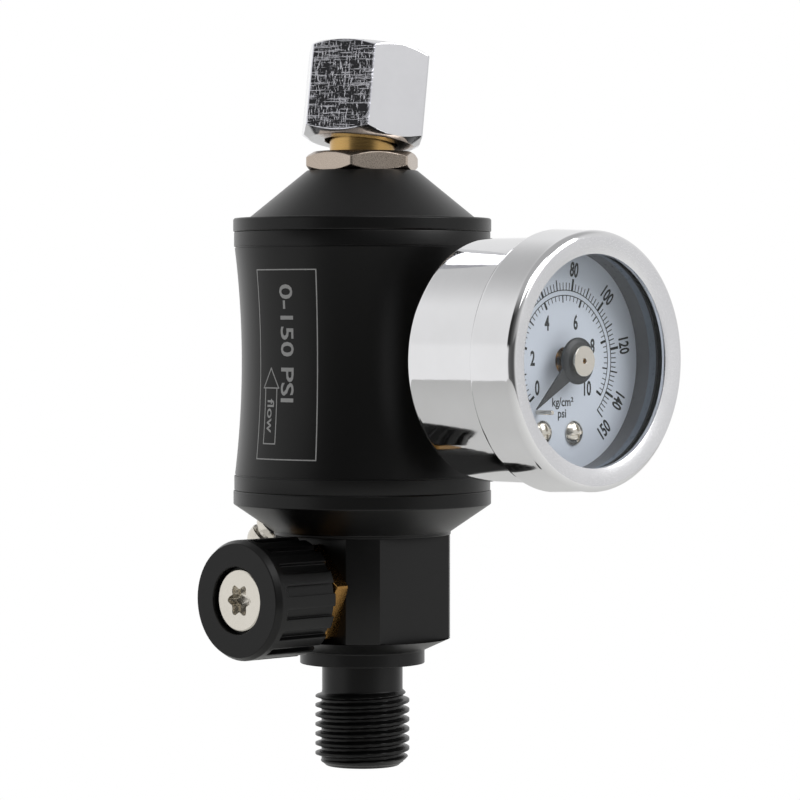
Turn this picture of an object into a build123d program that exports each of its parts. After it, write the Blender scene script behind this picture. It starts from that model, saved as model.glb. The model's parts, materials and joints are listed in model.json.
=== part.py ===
from build123d import *
import os
from math import asin, atan2, cos, degrees, hypot, pi, radians, sin, sqrt, tan

# In-line air pressure regulator with a side gauge. Millimetres. Heights ("_z", "_top", "_bottom")
# are measured up the main axis from the stem's lower end. Reaches ("_l") are measured out from the
# main axis along the side feature they belong to. The gauge looks along -Y, the knob along -X.

# ---- inlet stem, a G 1/4 male thread
thread_pitch = 1.337
thread_major_r = 6.58
thread_root_r = 5.72
thread_crests = 7
crest_width = 0.32
thread_start = 1.5
stem_end_r = 5.2
stem_bore_r = 3.0
stem_bore_top = 16.0
neck_z = 11.0
neck_r = 5.63
flange_z, flange_top, flange_r = 14.3, 16.17, 8.7

# ---- valve block and the lower housing that is turned with it
block_z, block_top, block_r = 17.8, 32.3, 12.25
block_half = 10.15
disc_top, disc_r = 32.7, 12.35
rim_z, rim_top, rim_r = 36.5, 38.47, 17.97
rim_chamfer = 0.15
spigot_top, spigot_r = 46.5, 13.98
filter_boss_top, filter_boss_r = 48.0, 6.9
passage_x, passage_r = 5.0, 1.8
drain_reach, drain_r, drain_floor = 10.2, 0.8, 34.6

# ---- waisted body
band_r = 17.85
waist_end_r, waist_mid_r, waist_mid_z = 17.75, 16.8, 56.4
line_z, line_height, line_depth = 40.5, 0.2, 0.18
body_top = 74.35
bore_end_r, bore_mid_r = 14.0, 12.2
bore_step_low, bore_step_high = 47.0, 66.0

# ---- top cap
cap_rim_top, cap_step_r = 76.25, 15.85
cap_cone_top, cap_cone_r = 82.9, 7.7
cap_spigot_bottom, cap_cavity_r, cap_cavity_top = 66.5, 11.5, 70.0
cap_bore_r = 6.4
filter_r, filter_bore_r, filter_top = 9.5, 7.0, 64.0

# ---- body O-rings
oring_groove_r, oring_wire = 12.4, 1.56
low_groove_z, high_groove_z, groove_height = 41.5, 70.8, 1.7

# ---- outlet adapter, tailpiece and swivel nut
adapter_flats, adapter_top, adapter_bottom, adapter_turn = 14.3, 85.55, 76.0, 33.7
tail_r, tail_bore_r, tail_flange_r, tail_bottom = 4.53, 3.0, 5.6, 74.5
adapter_edge_r, adapter_end_r = 6.7, 7.2
adapter_groove_z, adapter_groove_top, adapter_groove_depth = 79.0, 80.4, 1.0
head_z, head_r, head_top, head_tip_r = 89.8, 5.45, 92.2, 3.9
nut_flats, nut_length, nut_turn = 16.2, 13.1, 49.0
nut_z, nut_shift, nut_tilt, nut_tilt_turn = 86.7, 0.3, 8.8, 9.5
nut_end_r, nut_top_r = 7.4, 8.0
nut_lip, nut_lip_r = 1.5, 5.1
nut_chamber_top, nut_chamber_r = 6.2, 6.7
nut_thread_r, nut_thread_top = 5.72, 12.4

# ---- needle valve, bonnet and knob
valve_z = 24.3
chamber_l, chamber_r = 2.0, 3.5
seat_face_l, seat_thick, seat_hole_r = -2.4, 2.0, 1.5
pocket_depth, pocket_r = 2.6, 1.9
needle_slope, needle_gap = 0.5, 0.06
spindle_r, spindle_end_l, spindle_flat = 3.0, 20.6, 2.55
spindle_clear = 0.04
bonnet_thread_r, bonnet_end_l, bonnet_flats, bonnet_corner_turn = 5.0, 12.9, 13.0, 12.0
spindle_groove_l, spindle_groove_width, spindle_groove_r = 6.0, 1.1, 2.1
knob_back_l, knob_front_l, knob_r, knob_face_r = 13.05, 24.2, 8.2, 7.7
knob_front_chamfer = 0.9
knob_sink_r, knob_sink_l = 4.6, 22.9
flute_count, flute_width, flute_floor_r, flute_end_l = 16, 1.45, 7.45, 21.6
screw_head_r, screw_front_l, screw_rim, screw_shank_r, screw_tip_l = 4.25, 23.65, 0.5, 2.0, 14.5
lobe_count, lobe_tip_r, lobe_root_r, lobe_depth = 6, 2.2, 1.55, 1.6

# ---- bleed screw, let into the foot of the lower cone at the rear
bleed_azimuth, bleed_dip = 108.6, 47.0
bleed_reach, bleed_height = 15.5, 31.24
bleed_dome_r, bleed_groove_r, bleed_collar_r, bleed_shank_r = 2.3, 1.75, 2.4, 1.5
bleed_spot_r, bleed_seat_l = 2.7, -2.9

# ---- gauge
gauge_z = 56.8
port_r, port_face_l, port_face_r = 4.86, 16.3, 6.6
gauge_seal_thick = 1.2
hex_flats = 11.0
case_l, case_r, case_wall, case_back = 23.4, 16.4, 1.15, 1.2
case_edge = 1.2
seam_l = 36.6
dial_seat_l, dial_thick, dial_r = 37.0, 0.6, 15.2
case_lip_r = 13.6
spacer_r = 14.6
gasket_l, lens_l, lens_end_l = 41.3, 41.6, 42.6
window_r, window_l = 14.06, 43.2
bezel_front_l, bezel_rear_r, bezel_nose_r, bezel_rim_r = 43.8, 17.45, 17.2, 16.3
bezel_nose_l, bezel_edge, bezel_brow = 42.7, 0.25, (16.94, 43.46)
bezel_clear = 0.05

# ---- gauge movement
plate_rear_l, plate_thick, plate_front_l, plate_front_thick = 29.4, 0.8, 36.0, 1.0
arbor_r, arbor_clear = 0.6, 0.03
gear_module, pinion_teeth, sector_teeth = 0.2, 10, 100
gear_l, gear_thick, centre_spread = 32.0, 1.2, 0.03
sector_arc = (58.0, 96.0)
pillar_x, pillar_y, pillar_r = 6.5, 2.6, 0.9
tube_r, tube_radial, tube_width, tube_l = 11.0, 1.4, 4.0, 25.2
tube_turn = 250.0
block_half_x = 3.0
tail_x, tail_y = -3.5, -0.87
link_dx, link_dy, link_width, link_thick, link_l = -7.4, 9.6, 1.0, 0.4, 31.0
pointer_l, pointer_thick, pointer_reach, pointer_zero = 39.8, 0.3, 10.3, 217.5
boss_l, boss_end_l, boss_r = 39.4, 40.5, 3.1
hub_r, hub_front_l = 2.05, 41.2
dial_hole_r, plate_sink_r, plate_sink_l = 1.8, 1.95, 36.3
dial_screw_spots, dial_screw_r = ((-4.4, -9.45), (1.8, -9.6)), 1.65
stop_x, stop_y, stop_r, stop_end_l = -5.45, -6.7, 0.3, 40.4
hair_coils, hair_r0, hair_pitch, hair_strip, hair_l = 4, 1.6, 0.62, 0.16, 34.2

# ---- frames: the origin is on the main axis at the thread's first full crest
origin = Pos(0, 0, -thread_start)
knob_frame = Plane(origin=(0, 0, valve_z), x_dir=(0, -1, 0), z_dir=(-1, 0, 0))
gauge_frame = Plane(origin=(0, 0, gauge_z), x_dir=(1, 0, 0), z_dir=(0, -1, 0))
lean, lean_turn = radians(nut_tilt), radians(nut_tilt_turn)
lean_way = Vector(cos(lean_turn), sin(lean_turn), 0)
nut_frame = Plane(origin=Vector(0, 0, nut_z) - lean_way * nut_shift, x_dir=(1, 0, 0),
                  z_dir=lean_way * sin(lean) + Vector(0, 0, cos(lean)))
dip, azimuth = radians(bleed_dip), radians(bleed_azimuth)
bleed_way = Vector(cos(azimuth) * cos(dip), sin(azimuth) * cos(dip), -sin(dip))
bleed_spot = Vector(bleed_reach * cos(azimuth), bleed_reach * sin(azimuth), bleed_height)
bleed_frame = Plane(origin=bleed_spot, z_dir=bleed_way)


def turned(*edges):
    """A solid of revolution about Z from the edges of a closed (radius, height) outline."""
    return revolve(Plane.XZ * make_face(edges), Axis.Z)


def turned_outline(points):
    """A solid of revolution from a closed outline of straight (radius, height) runs."""
    return turned(*Polyline(*points, close=True).edges())


def rod(radius, low, high):
    """A plain cylinder on Z between two heights."""
    return Pos(0, 0, low) * Cylinder(radius, high - low, align=(Align.CENTER, Align.CENTER, Align.MIN))


def tube(outer, inner, low, high):
    """A plain tube on Z between two heights."""
    return rod(outer, low, high) - rod(inner, low, high)


def hexagon(flats, low, high):
    """A hexagonal prism on Z, measured across its flats."""
    corners = RegularPolygon(flats / 2, 6, major_radius=False)
    return Pos(0, 0, low) * extrude(corners, high - low)


def slab(x0, x1, y0, y1, low, high):
    """A box between two corners."""
    return Pos((x0 + x1) / 2, (y0 + y1) / 2, (low + high) / 2) * Box(x1 - x0, y1 - y0, high - low)


def oring(bore_r, height):
    """A ring of round section that just meets its groove's floor and its bore."""
    return Pos(0, 0, height) * Torus(bore_r - oring_wire / 2, oring_wire / 2)


def hex_chamfer(flats, low, high, low_r, high_r, rise):
    """The turned envelope that chamfers a hexagon's corners at both ends, given the end-face radii."""
    corner = flats / sqrt(3) + 0.1
    return turned_outline([
        (0, low), (low_r, low), (corner, low + (corner - low_r) * rise),
        (corner, high - (corner - high_r) * rise), (high_r, high), (0, high)])


# ---------------------------------------------------------------- main stack
def thread_outline():
    """The stem's ridged outline from its end to the relief neck, as (radius, height) points."""
    depth_run = (thread_pitch - 2 * crest_width) / 2
    points = [(stem_end_r, 0), (thread_root_r, 0.55)]
    for ridge in range(thread_crests):
        low = thread_start + ridge * thread_pitch
        points += [(thread_root_r, low - depth_run), (thread_major_r, low),
                   (thread_major_r, low + crest_width), (thread_root_r, low + crest_width + depth_run)]
    return points + [(thread_root_r, neck_z)]


def valve_block():
    outside = turned_outline([(0, 0)] + thread_outline() + [
        (neck_r, neck_z), (neck_r, flange_z), (flange_r - 0.2, flange_z), (flange_r, flange_z + 0.2),
        (flange_r, flange_top), (block_r, block_z), (block_r, block_top), (disc_r, block_top),
        (disc_r, disc_top), (rim_r - 0.07, rim_z), (rim_r, rim_z + 0.1), (rim_r, rim_top - rim_chamfer),
        (rim_r - rim_chamfer, rim_top), (spigot_r, rim_top), (spigot_r, low_groove_z),
        (oring_groove_r, low_groove_z), (oring_groove_r, low_groove_z + groove_height),
        (spigot_r, low_groove_z + groove_height), (spigot_r, spigot_top - 0.5),
        (spigot_r - 0.5, spigot_top), (filter_boss_r, spigot_top), (filter_boss_r, filter_boss_top),
        (0, filter_boss_top)])
    block = outside
    for turn in range(4):
        side = slab(block_half, block_r + 1, -block_r - 1, block_r + 1, flange_top, block_top)
        block -= Rot(0, 0, 90 * turn) * side
    block -= rod(stem_bore_r, 0, stem_bore_top)
    block -= rod(seat_hole_r + 0.7, stem_bore_top, valve_z)
    block -= knob_frame * rod(chamber_r, seat_face_l - seat_thick, chamber_l)
    block -= knob_frame * rod(bonnet_thread_r, chamber_l, block_half)
    pocket_end = seat_face_l - seat_thick - pocket_depth
    block -= knob_frame * rod(pocket_r, pocket_end, seat_face_l - seat_thick)
    block -= Pos(passage_x, 0, 0) * rod(passage_r, valve_z, filter_boss_top)
    block -= bleed_frame * (rod(bleed_spot_r, bleed_seat_l, 12) + rod(bleed_shank_r, -8.0, 0))
    drain = Vector(cos(azimuth), sin(azimuth), 0) * drain_reach
    return block - Pos(drain.X, drain.Y, 0) * rod(drain_r, drain_floor, spigot_top)


def band_outline(edge_z, inward):
    """A body end's outline, from the end face past its band and fine turned line to the waist."""
    line = edge_z + inward * (line_z - rim_top)
    return [(band_r - rim_chamfer, edge_z), (band_r, edge_z + inward * rim_chamfer), (band_r, line),
            (band_r - line_depth, line), (band_r - line_depth, line + inward * line_height),
            (waist_end_r, line + inward * line_height)]


def body_shell():
    low, high = band_outline(rim_top, 1), band_outline(body_top, -1)
    step = bore_end_r - bore_mid_r
    bore = [high[0], (bore_end_r, body_top), (bore_end_r, bore_step_high),
            (bore_mid_r, bore_step_high - step / 2), (bore_mid_r, bore_step_low + step / 2),
            (bore_end_r, bore_step_low), (bore_end_r, rim_top), low[0]]
    shell = turned(
        *Polyline(*low).edges(), ThreePointArc(low[-1], (waist_mid_r, waist_mid_z), high[-1]),
        *Polyline(*reversed(high)).edges(), *Polyline(*bore).edges())
    shell -= gauge_frame * rod(port_r, 10, 20)
    return shell - gauge_frame * rod(port_face_r, port_face_l, 20)


def top_cap():
    return turned_outline([
        (spigot_r - 0.4, cap_spigot_bottom), (spigot_r, cap_spigot_bottom + 0.4),
        (spigot_r, high_groove_z), (oring_groove_r, high_groove_z),
        (oring_groove_r, high_groove_z + groove_height), (spigot_r, high_groove_z + groove_height),
        (spigot_r, body_top), (rim_r - rim_chamfer, body_top), (rim_r, body_top + rim_chamfer),
        (rim_r, cap_rim_top - 0.2), (rim_r - 0.2, cap_rim_top), (cap_step_r, cap_rim_top),
        (cap_cone_r, cap_cone_top), (cap_bore_r, cap_cone_top), (cap_bore_r, cap_cavity_top),
        (cap_cavity_r, cap_cavity_top), (cap_cavity_r, cap_spigot_bottom)])


def filter_spring():
    wire, mean_r = 0.5, 8.6
    low, high = bore_step_high + wire, cap_cavity_top - wire
    path = Pos(0, 0, low) * Helix(pitch=(high - low) / 2.5, height=high - low, radius=mean_r)
    section = Plane(origin=path @ 0, z_dir=path % 0) * Circle(wire)
    return sweep(section, path=path, is_frenet=True)


def outlet_adapter():
    nut = hexagon(adapter_flats, cap_cone_top, adapter_top)
    nut &= hex_chamfer(
        adapter_flats, cap_cone_top, adapter_top, adapter_end_r, adapter_edge_r, tan(radians(30)))
    nut = Rot(0, 0, adapter_turn) * nut
    groove = tube(cap_bore_r + 1, cap_bore_r - adapter_groove_depth, adapter_groove_z, adapter_groove_top)
    return nut + rod(cap_bore_r, adapter_bottom, cap_cone_top) - groove - rod(tail_r, 70, 90)


def outlet_tailpiece():
    cone = [(head_r, head_z), (head_r, head_z + 0.7), (head_tip_r, head_top), (tail_bore_r, head_top)]
    return turned_outline([
        (tail_bore_r, tail_bottom), (tail_flange_r, tail_bottom), (tail_flange_r, adapter_bottom),
        (tail_r, adapter_bottom), (tail_r, head_z)] + cone)


def swivel_nut():
    hex_bar = Rot(0, 0, nut_turn) * hexagon(nut_flats, 0, nut_length)
    envelope = hex_chamfer(nut_flats, 0, nut_length, nut_end_r, nut_top_r, tan(radians(30)))
    inside = turned_outline([
        (0, -1), (nut_lip_r, -1), (nut_lip_r, nut_lip), (nut_chamber_r, nut_lip + 0.9),
        (nut_chamber_r, nut_chamber_top - 0.6), (nut_thread_r, nut_chamber_top),
        (nut_thread_r, nut_thread_top), (nut_thread_r + 0.9, nut_length), (nut_thread_r + 0.9, nut_length + 1),
        (0, nut_length + 1)])
    return nut_frame * ((hex_bar & envelope) - inside)


# ---------------------------------------------------------------- needle valve and knob
def spindle():
    tip_l = seat_face_l - 1.2
    edge_r = seat_hole_r - needle_gap
    turned_part = turned_outline([
        (0, tip_l), (edge_r - 1.2 * needle_slope, tip_l), (edge_r + 0.6, seat_face_l + 0.6 / needle_slope),
        (spindle_r, seat_face_l + 0.6 / needle_slope), (spindle_r, spindle_groove_l),
        (spindle_groove_r, spindle_groove_l), (spindle_groove_r, spindle_groove_l + spindle_groove_width),
        (spindle_r, spindle_groove_l + spindle_groove_width), (spindle_r, spindle_end_l), (0, spindle_end_l)])
    flat = slab(spindle_flat, spindle_r + 1, -spindle_r, spindle_r, knob_back_l, spindle_end_l)
    return knob_frame * (turned_part - flat - rod(screw_shank_r, screw_tip_l - 0.5, spindle_end_l))


def spindle_oring():
    wire_r = (spindle_r - spindle_groove_r) / 2
    middle = spindle_groove_l + spindle_groove_width / 2
    return knob_frame * (Pos(0, 0, middle) * Torus(spindle_groove_r + wire_r, wire_r))


def bonnet():
    nut = hexagon(bonnet_flats, block_half, bonnet_end_l)
    nut &= hex_chamfer(bonnet_flats, block_half, bonnet_end_l, 7.4, 6.3, tan(radians(30)))
    body = Rot(0, 0, bonnet_corner_turn) * nut + rod(bonnet_thread_r, chamber_l, block_half)
    return knob_frame * (body - rod(spindle_r + spindle_clear, 0, 15))


def knob():
    body = turned_outline([
        (0, knob_back_l), (knob_r - 0.35, knob_back_l), (knob_r, knob_back_l + 0.35),
        (knob_r, knob_front_l - knob_front_chamfer), (knob_face_r, knob_front_l), (0, knob_front_l)])
    run_out = flute_end_l + (knob_r + 0.2 - flute_floor_r)
    side = Polyline((flute_floor_r, knob_back_l - 1), (flute_floor_r, flute_end_l),
                    (knob_r + 0.2, run_out), (knob_r + 0.2, knob_back_l - 1), close=True)
    flute = extrude(Plane.XZ * make_face(side.edges()), flute_width / 2, both=True)
    for index in range(flute_count):
        body -= Rot(0, 0, (index + 0.5) * 360 / flute_count) * flute
    body -= rod(knob_sink_r, knob_sink_l, 30)
    drive = rod(spindle_r, 10, spindle_end_l)
    drive -= slab(spindle_flat, spindle_r + 1, -spindle_r, spindle_r, 9, spindle_end_l)
    seat = turned_outline([
        (0, spindle_end_l), (screw_shank_r, spindle_end_l),
        (screw_head_r, screw_front_l - screw_rim), (screw_head_r, 30), (0, 30)])
    return knob_frame * (body - drive - seat)


def star(tip_r, root_r, lobes):
    """A six-lobe outline of arcs through its tips and roots."""
    def spot(radius, step):
        angle = pi * step / lobes
        return radius * cos(angle), radius * sin(angle)
    arcs = []
    for lobe in range(lobes):
        step = 2 * lobe
        start, end = spot((tip_r + root_r) / 2, step - 0.5), spot((tip_r + root_r) / 2, step + 0.5)
        arcs += ThreePointArc(start, spot(tip_r, step), end).edges()
        follow = spot((tip_r + root_r) / 2, step + 1.5)
        arcs += ThreePointArc(end, spot(root_r, step + 1), follow).edges()
    return make_face(arcs)


def knob_screw():
    body = turned_outline([
        (0, screw_tip_l), (screw_shank_r, screw_tip_l), (screw_shank_r, spindle_end_l),
        (screw_head_r, screw_front_l - screw_rim), (screw_head_r, screw_front_l - 0.2),
        (screw_head_r - 0.2, screw_front_l), (0, screw_front_l)])
    recess = Pos(0, 0, screw_front_l - lobe_depth) * extrude(star(lobe_tip_r, lobe_root_r, lobe_count), 3)
    return knob_frame * (body - recess)


# ---------------------------------------------------------------- bleed screw
def bleed_screw():
    dome = [(bleed_dome_r, 0.2), (bleed_dome_r * 0.76, 1.65), (0.4, 2.4)]
    edges = Polyline(
        dome[2], (0, dome[2][1]), (0, -7.5), (bleed_shank_r, -7.5), (bleed_shank_r, -2.3), (bleed_collar_r, -2.3),
        (bleed_collar_r, -1.4), (bleed_groove_r, -1.4), (bleed_groove_r, -0.6), (bleed_dome_r, -0.6),
        dome[0]).edges()
    return bleed_frame * turned(*edges, ThreePointArc(*dome))


def bleed_seal():
    return bleed_frame * tube(bleed_collar_r, bleed_shank_r, bleed_seat_l, -2.3)


# ---------------------------------------------------------------- gauge shell
def gauge_socket():
    seal_top = port_face_l + gauge_seal_thick
    stem = rod(port_r, 12.6, seal_top) + hexagon(hex_flats, seal_top, case_l)
    stem += rod(4.4, case_l, case_l + case_back)
    block = slab(-block_half_x, block_half_x, -13.0, 4.0, case_l + case_back, plate_rear_l)
    drilling = rod(1.2, 12.6, tube_l + tube_width / 2)
    return gauge_frame * (stem + block - drilling)


def gauge_case():
    inner = case_r - case_wall
    shell = turned_outline([
        (4.4, case_l), (case_r - case_edge, case_l), (case_r, case_l + case_edge), (case_r, seam_l),
        (inner, seam_l), (inner, dial_seat_l), (case_lip_r, dial_seat_l), (case_lip_r, seam_l),
        (inner - 0.4, seam_l - 1.5), (inner - 0.4, case_l + case_back), (4.4, case_l + case_back)])
    return gauge_frame * shell


def gauge_bezel():
    """A thick collar butted on the case, tapered to the front and rounded over on to its flat ring."""
    nose = ThreePointArc((bezel_nose_r, bezel_nose_l), bezel_brow, (bezel_rim_r, bezel_front_l))
    rest = Polyline(
        (bezel_rim_r, bezel_front_l), (window_r + 0.15, window_l), (window_r, window_l - 0.15),
        (window_r, lens_end_l), (dial_r + bezel_clear, lens_end_l), (dial_r + bezel_clear, seam_l),
        (bezel_rear_r - bezel_edge, seam_l), (bezel_rear_r, seam_l + bezel_edge),
        (bezel_nose_r, bezel_nose_l))
    return gauge_frame * turned(nose, *rest.edges())


def gauge_dial():
    disc = rod(dial_r, dial_seat_l, dial_seat_l + dial_thick) - rod(dial_hole_r, 30, 40)
    for x, y in dial_screw_spots:
        disc -= Pos(x, y, 0) * rod(0.65, 30, 40)
    return gauge_frame * disc


def dial_screws():
    face = dial_seat_l + dial_thick
    head = turned(
        *Polyline((0.3, face + 0.9), (0, face + 0.9), (0, plate_front_l), (0.6, plate_front_l), (0.6, face),
                  (dial_screw_r, face), (dial_screw_r, face + 0.2)).edges(),
        ThreePointArc((dial_screw_r, face + 0.2), (1.05, face + 0.7), (0.3, face + 0.9)))
    head -= slab(-0.2, 0.2, -dial_screw_r, dial_screw_r, face + 0.5, face + 2)
    head -= slab(-dial_screw_r, dial_screw_r, -0.2, 0.2, face + 0.5, face + 2)
    return gauge_frame * Compound(children=[Pos(x, y, 0) * head for x, y in dial_screw_spots])


# ---------------------------------------------------------------- gauge movement
def tooth_ring(teeth, first, last, thick):
    """A toothed disc or sector edge: slim straight-sided teeth on a band of the root radius."""
    pitch_r = gear_module * teeth / 2
    root_r, tip_r = pitch_r - 1.2 * gear_module, pitch_r + 0.75 * gear_module
    tooth = make_face(Polyline(
        (root_r - 0.05, -0.17), (pitch_r, -0.125), (tip_r, -0.06), (tip_r, 0.06), (pitch_r, 0.125),
        (root_r - 0.05, 0.17), close=True).edges())
    step = 360 / teeth
    outline = Sketch() + [Rot(0, 0, first + step * n) * tooth for n in range(round((last - first) / step) + 1)]
    return extrude(outline, thick), root_r


def pinion_arbor():
    teeth, root_r = tooth_ring(pinion_teeth, -72, 252, gear_thick)
    shaft = rod(arbor_r, plate_rear_l + 0.1, boss_l) + rod(arbor_r - 0.2, boss_l, boss_end_l + 0.3)
    blank = rod(root_r, gear_l, gear_l + gear_thick)
    return gauge_frame * (shaft + blank + Pos(0, 0, gear_l) * teeth)


pivot_y = -(gear_module * (pinion_teeth + sector_teeth) / 2 + centre_spread)


def sector_gear():
    step = 360 / sector_teeth
    teeth, root_r = tooth_ring(sector_teeth, 90 - 9 * step, 90 + step, gear_thick)
    low, high = (radians(a) for a in sector_arc)
    web = make_face(Polyline(
        (0, -1.0), (root_r * cos(low), root_r * sin(low)), (root_r * cos(high), root_r * sin(high)),
        (-1.2, 0), close=True).edges())
    blank = extrude(web, gear_thick) & rod(root_r, 0, gear_thick)
    arc_face = make_face([
        *Polyline((root_r * cos(high), root_r * sin(high)), (0, 0),
                  (root_r * cos(low), root_r * sin(low))).edges(),
        *ThreePointArc((root_r * cos(low), root_r * sin(low)),
                       (root_r * cos((low + high) / 2), root_r * sin((low + high) / 2)),
                       (root_r * cos(high), root_r * sin(high))).edges()])
    window = Pos(0, 0, -1) * extrude(Rot(0, 0, 77) * Pos(6.1, 0) * Rectangle(3.2, 2.2), 4)
    tail_turn = degrees(atan2(tail_y, tail_x))
    reach = hypot(tail_x, tail_y)
    tail = Rot(0, 0, tail_turn) * slab(0, reach, -0.7, 0.7, 0, gear_thick)
    tail += Pos(tail_x, tail_y, 0) * rod(0.9, 0, gear_thick)
    body = blank + extrude(arc_face, gear_thick) + rod(1.6, 0, gear_thick) + tail + teeth
    body -= window
    body -= rod(arbor_r, -1, 3)
    pin = Pos(tail_x, tail_y, 0) * rod(0.35, link_l - gear_l - 0.2, gear_thick)
    return gauge_frame * (Pos(0, pivot_y, gear_l) * (body + pin))


def sector_arbor():
    return gauge_frame * (Pos(0, pivot_y, 0) * rod(arbor_r, plate_rear_l + 0.1, plate_front_l + 0.9))


def link_bar():
    length, turn = hypot(link_dx, link_dy), degrees(atan2(link_dy, link_dx))
    bar = slab(0, length, -link_width / 2, link_width / 2, 0, link_thick)
    bar += rod(0.9, 0, link_thick) + Pos(length, 0, 0) * rod(0.9, 0, link_thick)
    bar -= rod(0.35 + arbor_clear, -1, 2) + Pos(length, 0, 0) * rod(0.35, -1, 2)
    return gauge_frame * (Pos(tail_x, pivot_y + tail_y, link_l) * Rot(0, 0, turn) * bar)


def bourdon_tube():
    start = degrees(asin((block_half_x + 0.02) / tube_r)) - 90
    section = Pos(tube_r + tube_radial / 2, tube_l + tube_width / 2) * Rectangle(tube_radial, tube_width)
    bore = Pos(tube_r + tube_radial / 2, tube_l + tube_width / 2) * Rectangle(0.6, tube_width - 0.8)
    ring = revolve(Plane.XZ * (section - bore), Axis.Z, tube_turn)
    return gauge_frame * (Rot(0, 0, start) * ring)


def bourdon_tip():
    end = degrees(asin((block_half_x + 0.02) / tube_r)) - 90 + tube_turn
    block = slab(tube_r - 0.2, tube_r + tube_radial + 0.2, 0.0, 2.2, tube_l, link_l - 0.25)
    return gauge_frame * (Rot(0, 0, end) * block)


def movement_plate(low, thick):
    """One plate of the movement: a bar across the pillars and a tongue down to the sector's pivot."""
    plate = slab(-pillar_x - 1.6, pillar_x + 1.6, 0.6, 4.6, low, low + thick)
    plate += slab(-5.4, 5.4, -12.2, 4.6, low, low + thick)
    plate -= rod(arbor_r + arbor_clear, low - 1, low + thick + 1)
    return plate - Pos(0, pivot_y, 0) * rod(arbor_r + arbor_clear, low - 1, low + thick + 1)


def front_plate():
    plate = movement_plate(plate_front_l, plate_front_thick) - rod(plate_sink_r, plate_sink_l, 40)
    for x, y in dial_screw_spots:
        plate -= Pos(x, y, 0) * rod(0.6, 30, 40)
    return gauge_frame * plate


def plate_pillars():
    one = rod(pillar_r, plate_rear_l + plate_thick, plate_front_l)
    return gauge_frame * Compound(children=[Pos(side * pillar_x, pillar_y, 0) * one for side in (-1, 1)])


def plate_screws():
    face = plate_rear_l + plate_thick
    one = rod(1.1, face, face + 0.6) - slab(-0.15, 0.15, -1.1, 1.1, face + 0.3, face + 1)
    return gauge_frame * Compound(children=[Pos(side * 2.2, 2.9, 0) * one for side in (-1, 1)])


def hairspring():
    outer = hair_r0 + hair_coils * hair_pitch
    count = 16 * hair_coils

    def spiral(offset):
        return [((hair_r0 + offset + hair_pitch * n / 16) * cos(2 * pi * n / 16),
                 (hair_r0 + offset + hair_pitch * n / 16) * sin(2 * pi * n / 16)) for n in range(count + 1)]
    inside, outside = spiral(0), spiral(hair_strip)
    strip = make_face([
        *Spline(*inside).edges(), *Line(inside[-1], outside[-1]).edges(),
        *Spline(*reversed(outside)).edges(), *Line(outside[0], inside[0]).edges()])
    stud = Pos(outer + 0.4, 0, 0) * rod(0.4, 0, plate_front_l - hair_l)
    return gauge_frame * (Pos(0, 0, hair_l) * (extrude(strip, 0.6) + stud))


def pointer():
    root, tip = 1.5, 0.16
    blade = make_face(Polyline(
        (0, -root), (pointer_reach - 1.0, -tip), (pointer_reach, 0), (pointer_reach - 1.0, tip),
        (0, root), close=True).edges())
    boss = turned_outline([
        (0.4, boss_l), (boss_r - 0.5, boss_l), (boss_r, pointer_l - 0.05), (boss_r, pointer_l + 0.35),
        (boss_r - 0.55, boss_end_l), (0.4, boss_end_l)])
    body = boss + Pos(0, 0, pointer_l) * extrude(blade, pointer_thick) - rod(arbor_r - 0.2, 30, 45)
    return gauge_frame * (Rot(0, 0, pointer_zero) * body)


def pointer_hub():
    return gauge_frame * turned_outline([
        (0.4, boss_end_l), (hub_r, boss_end_l), (hub_r, hub_front_l - 0.15), (hub_r - 0.15, hub_front_l),
        (0.4, hub_front_l)])


def stop_pin():
    return gauge_frame * (Pos(stop_x, stop_y, 0) * rod(stop_r, dial_seat_l + dial_thick, stop_end_l))


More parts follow.
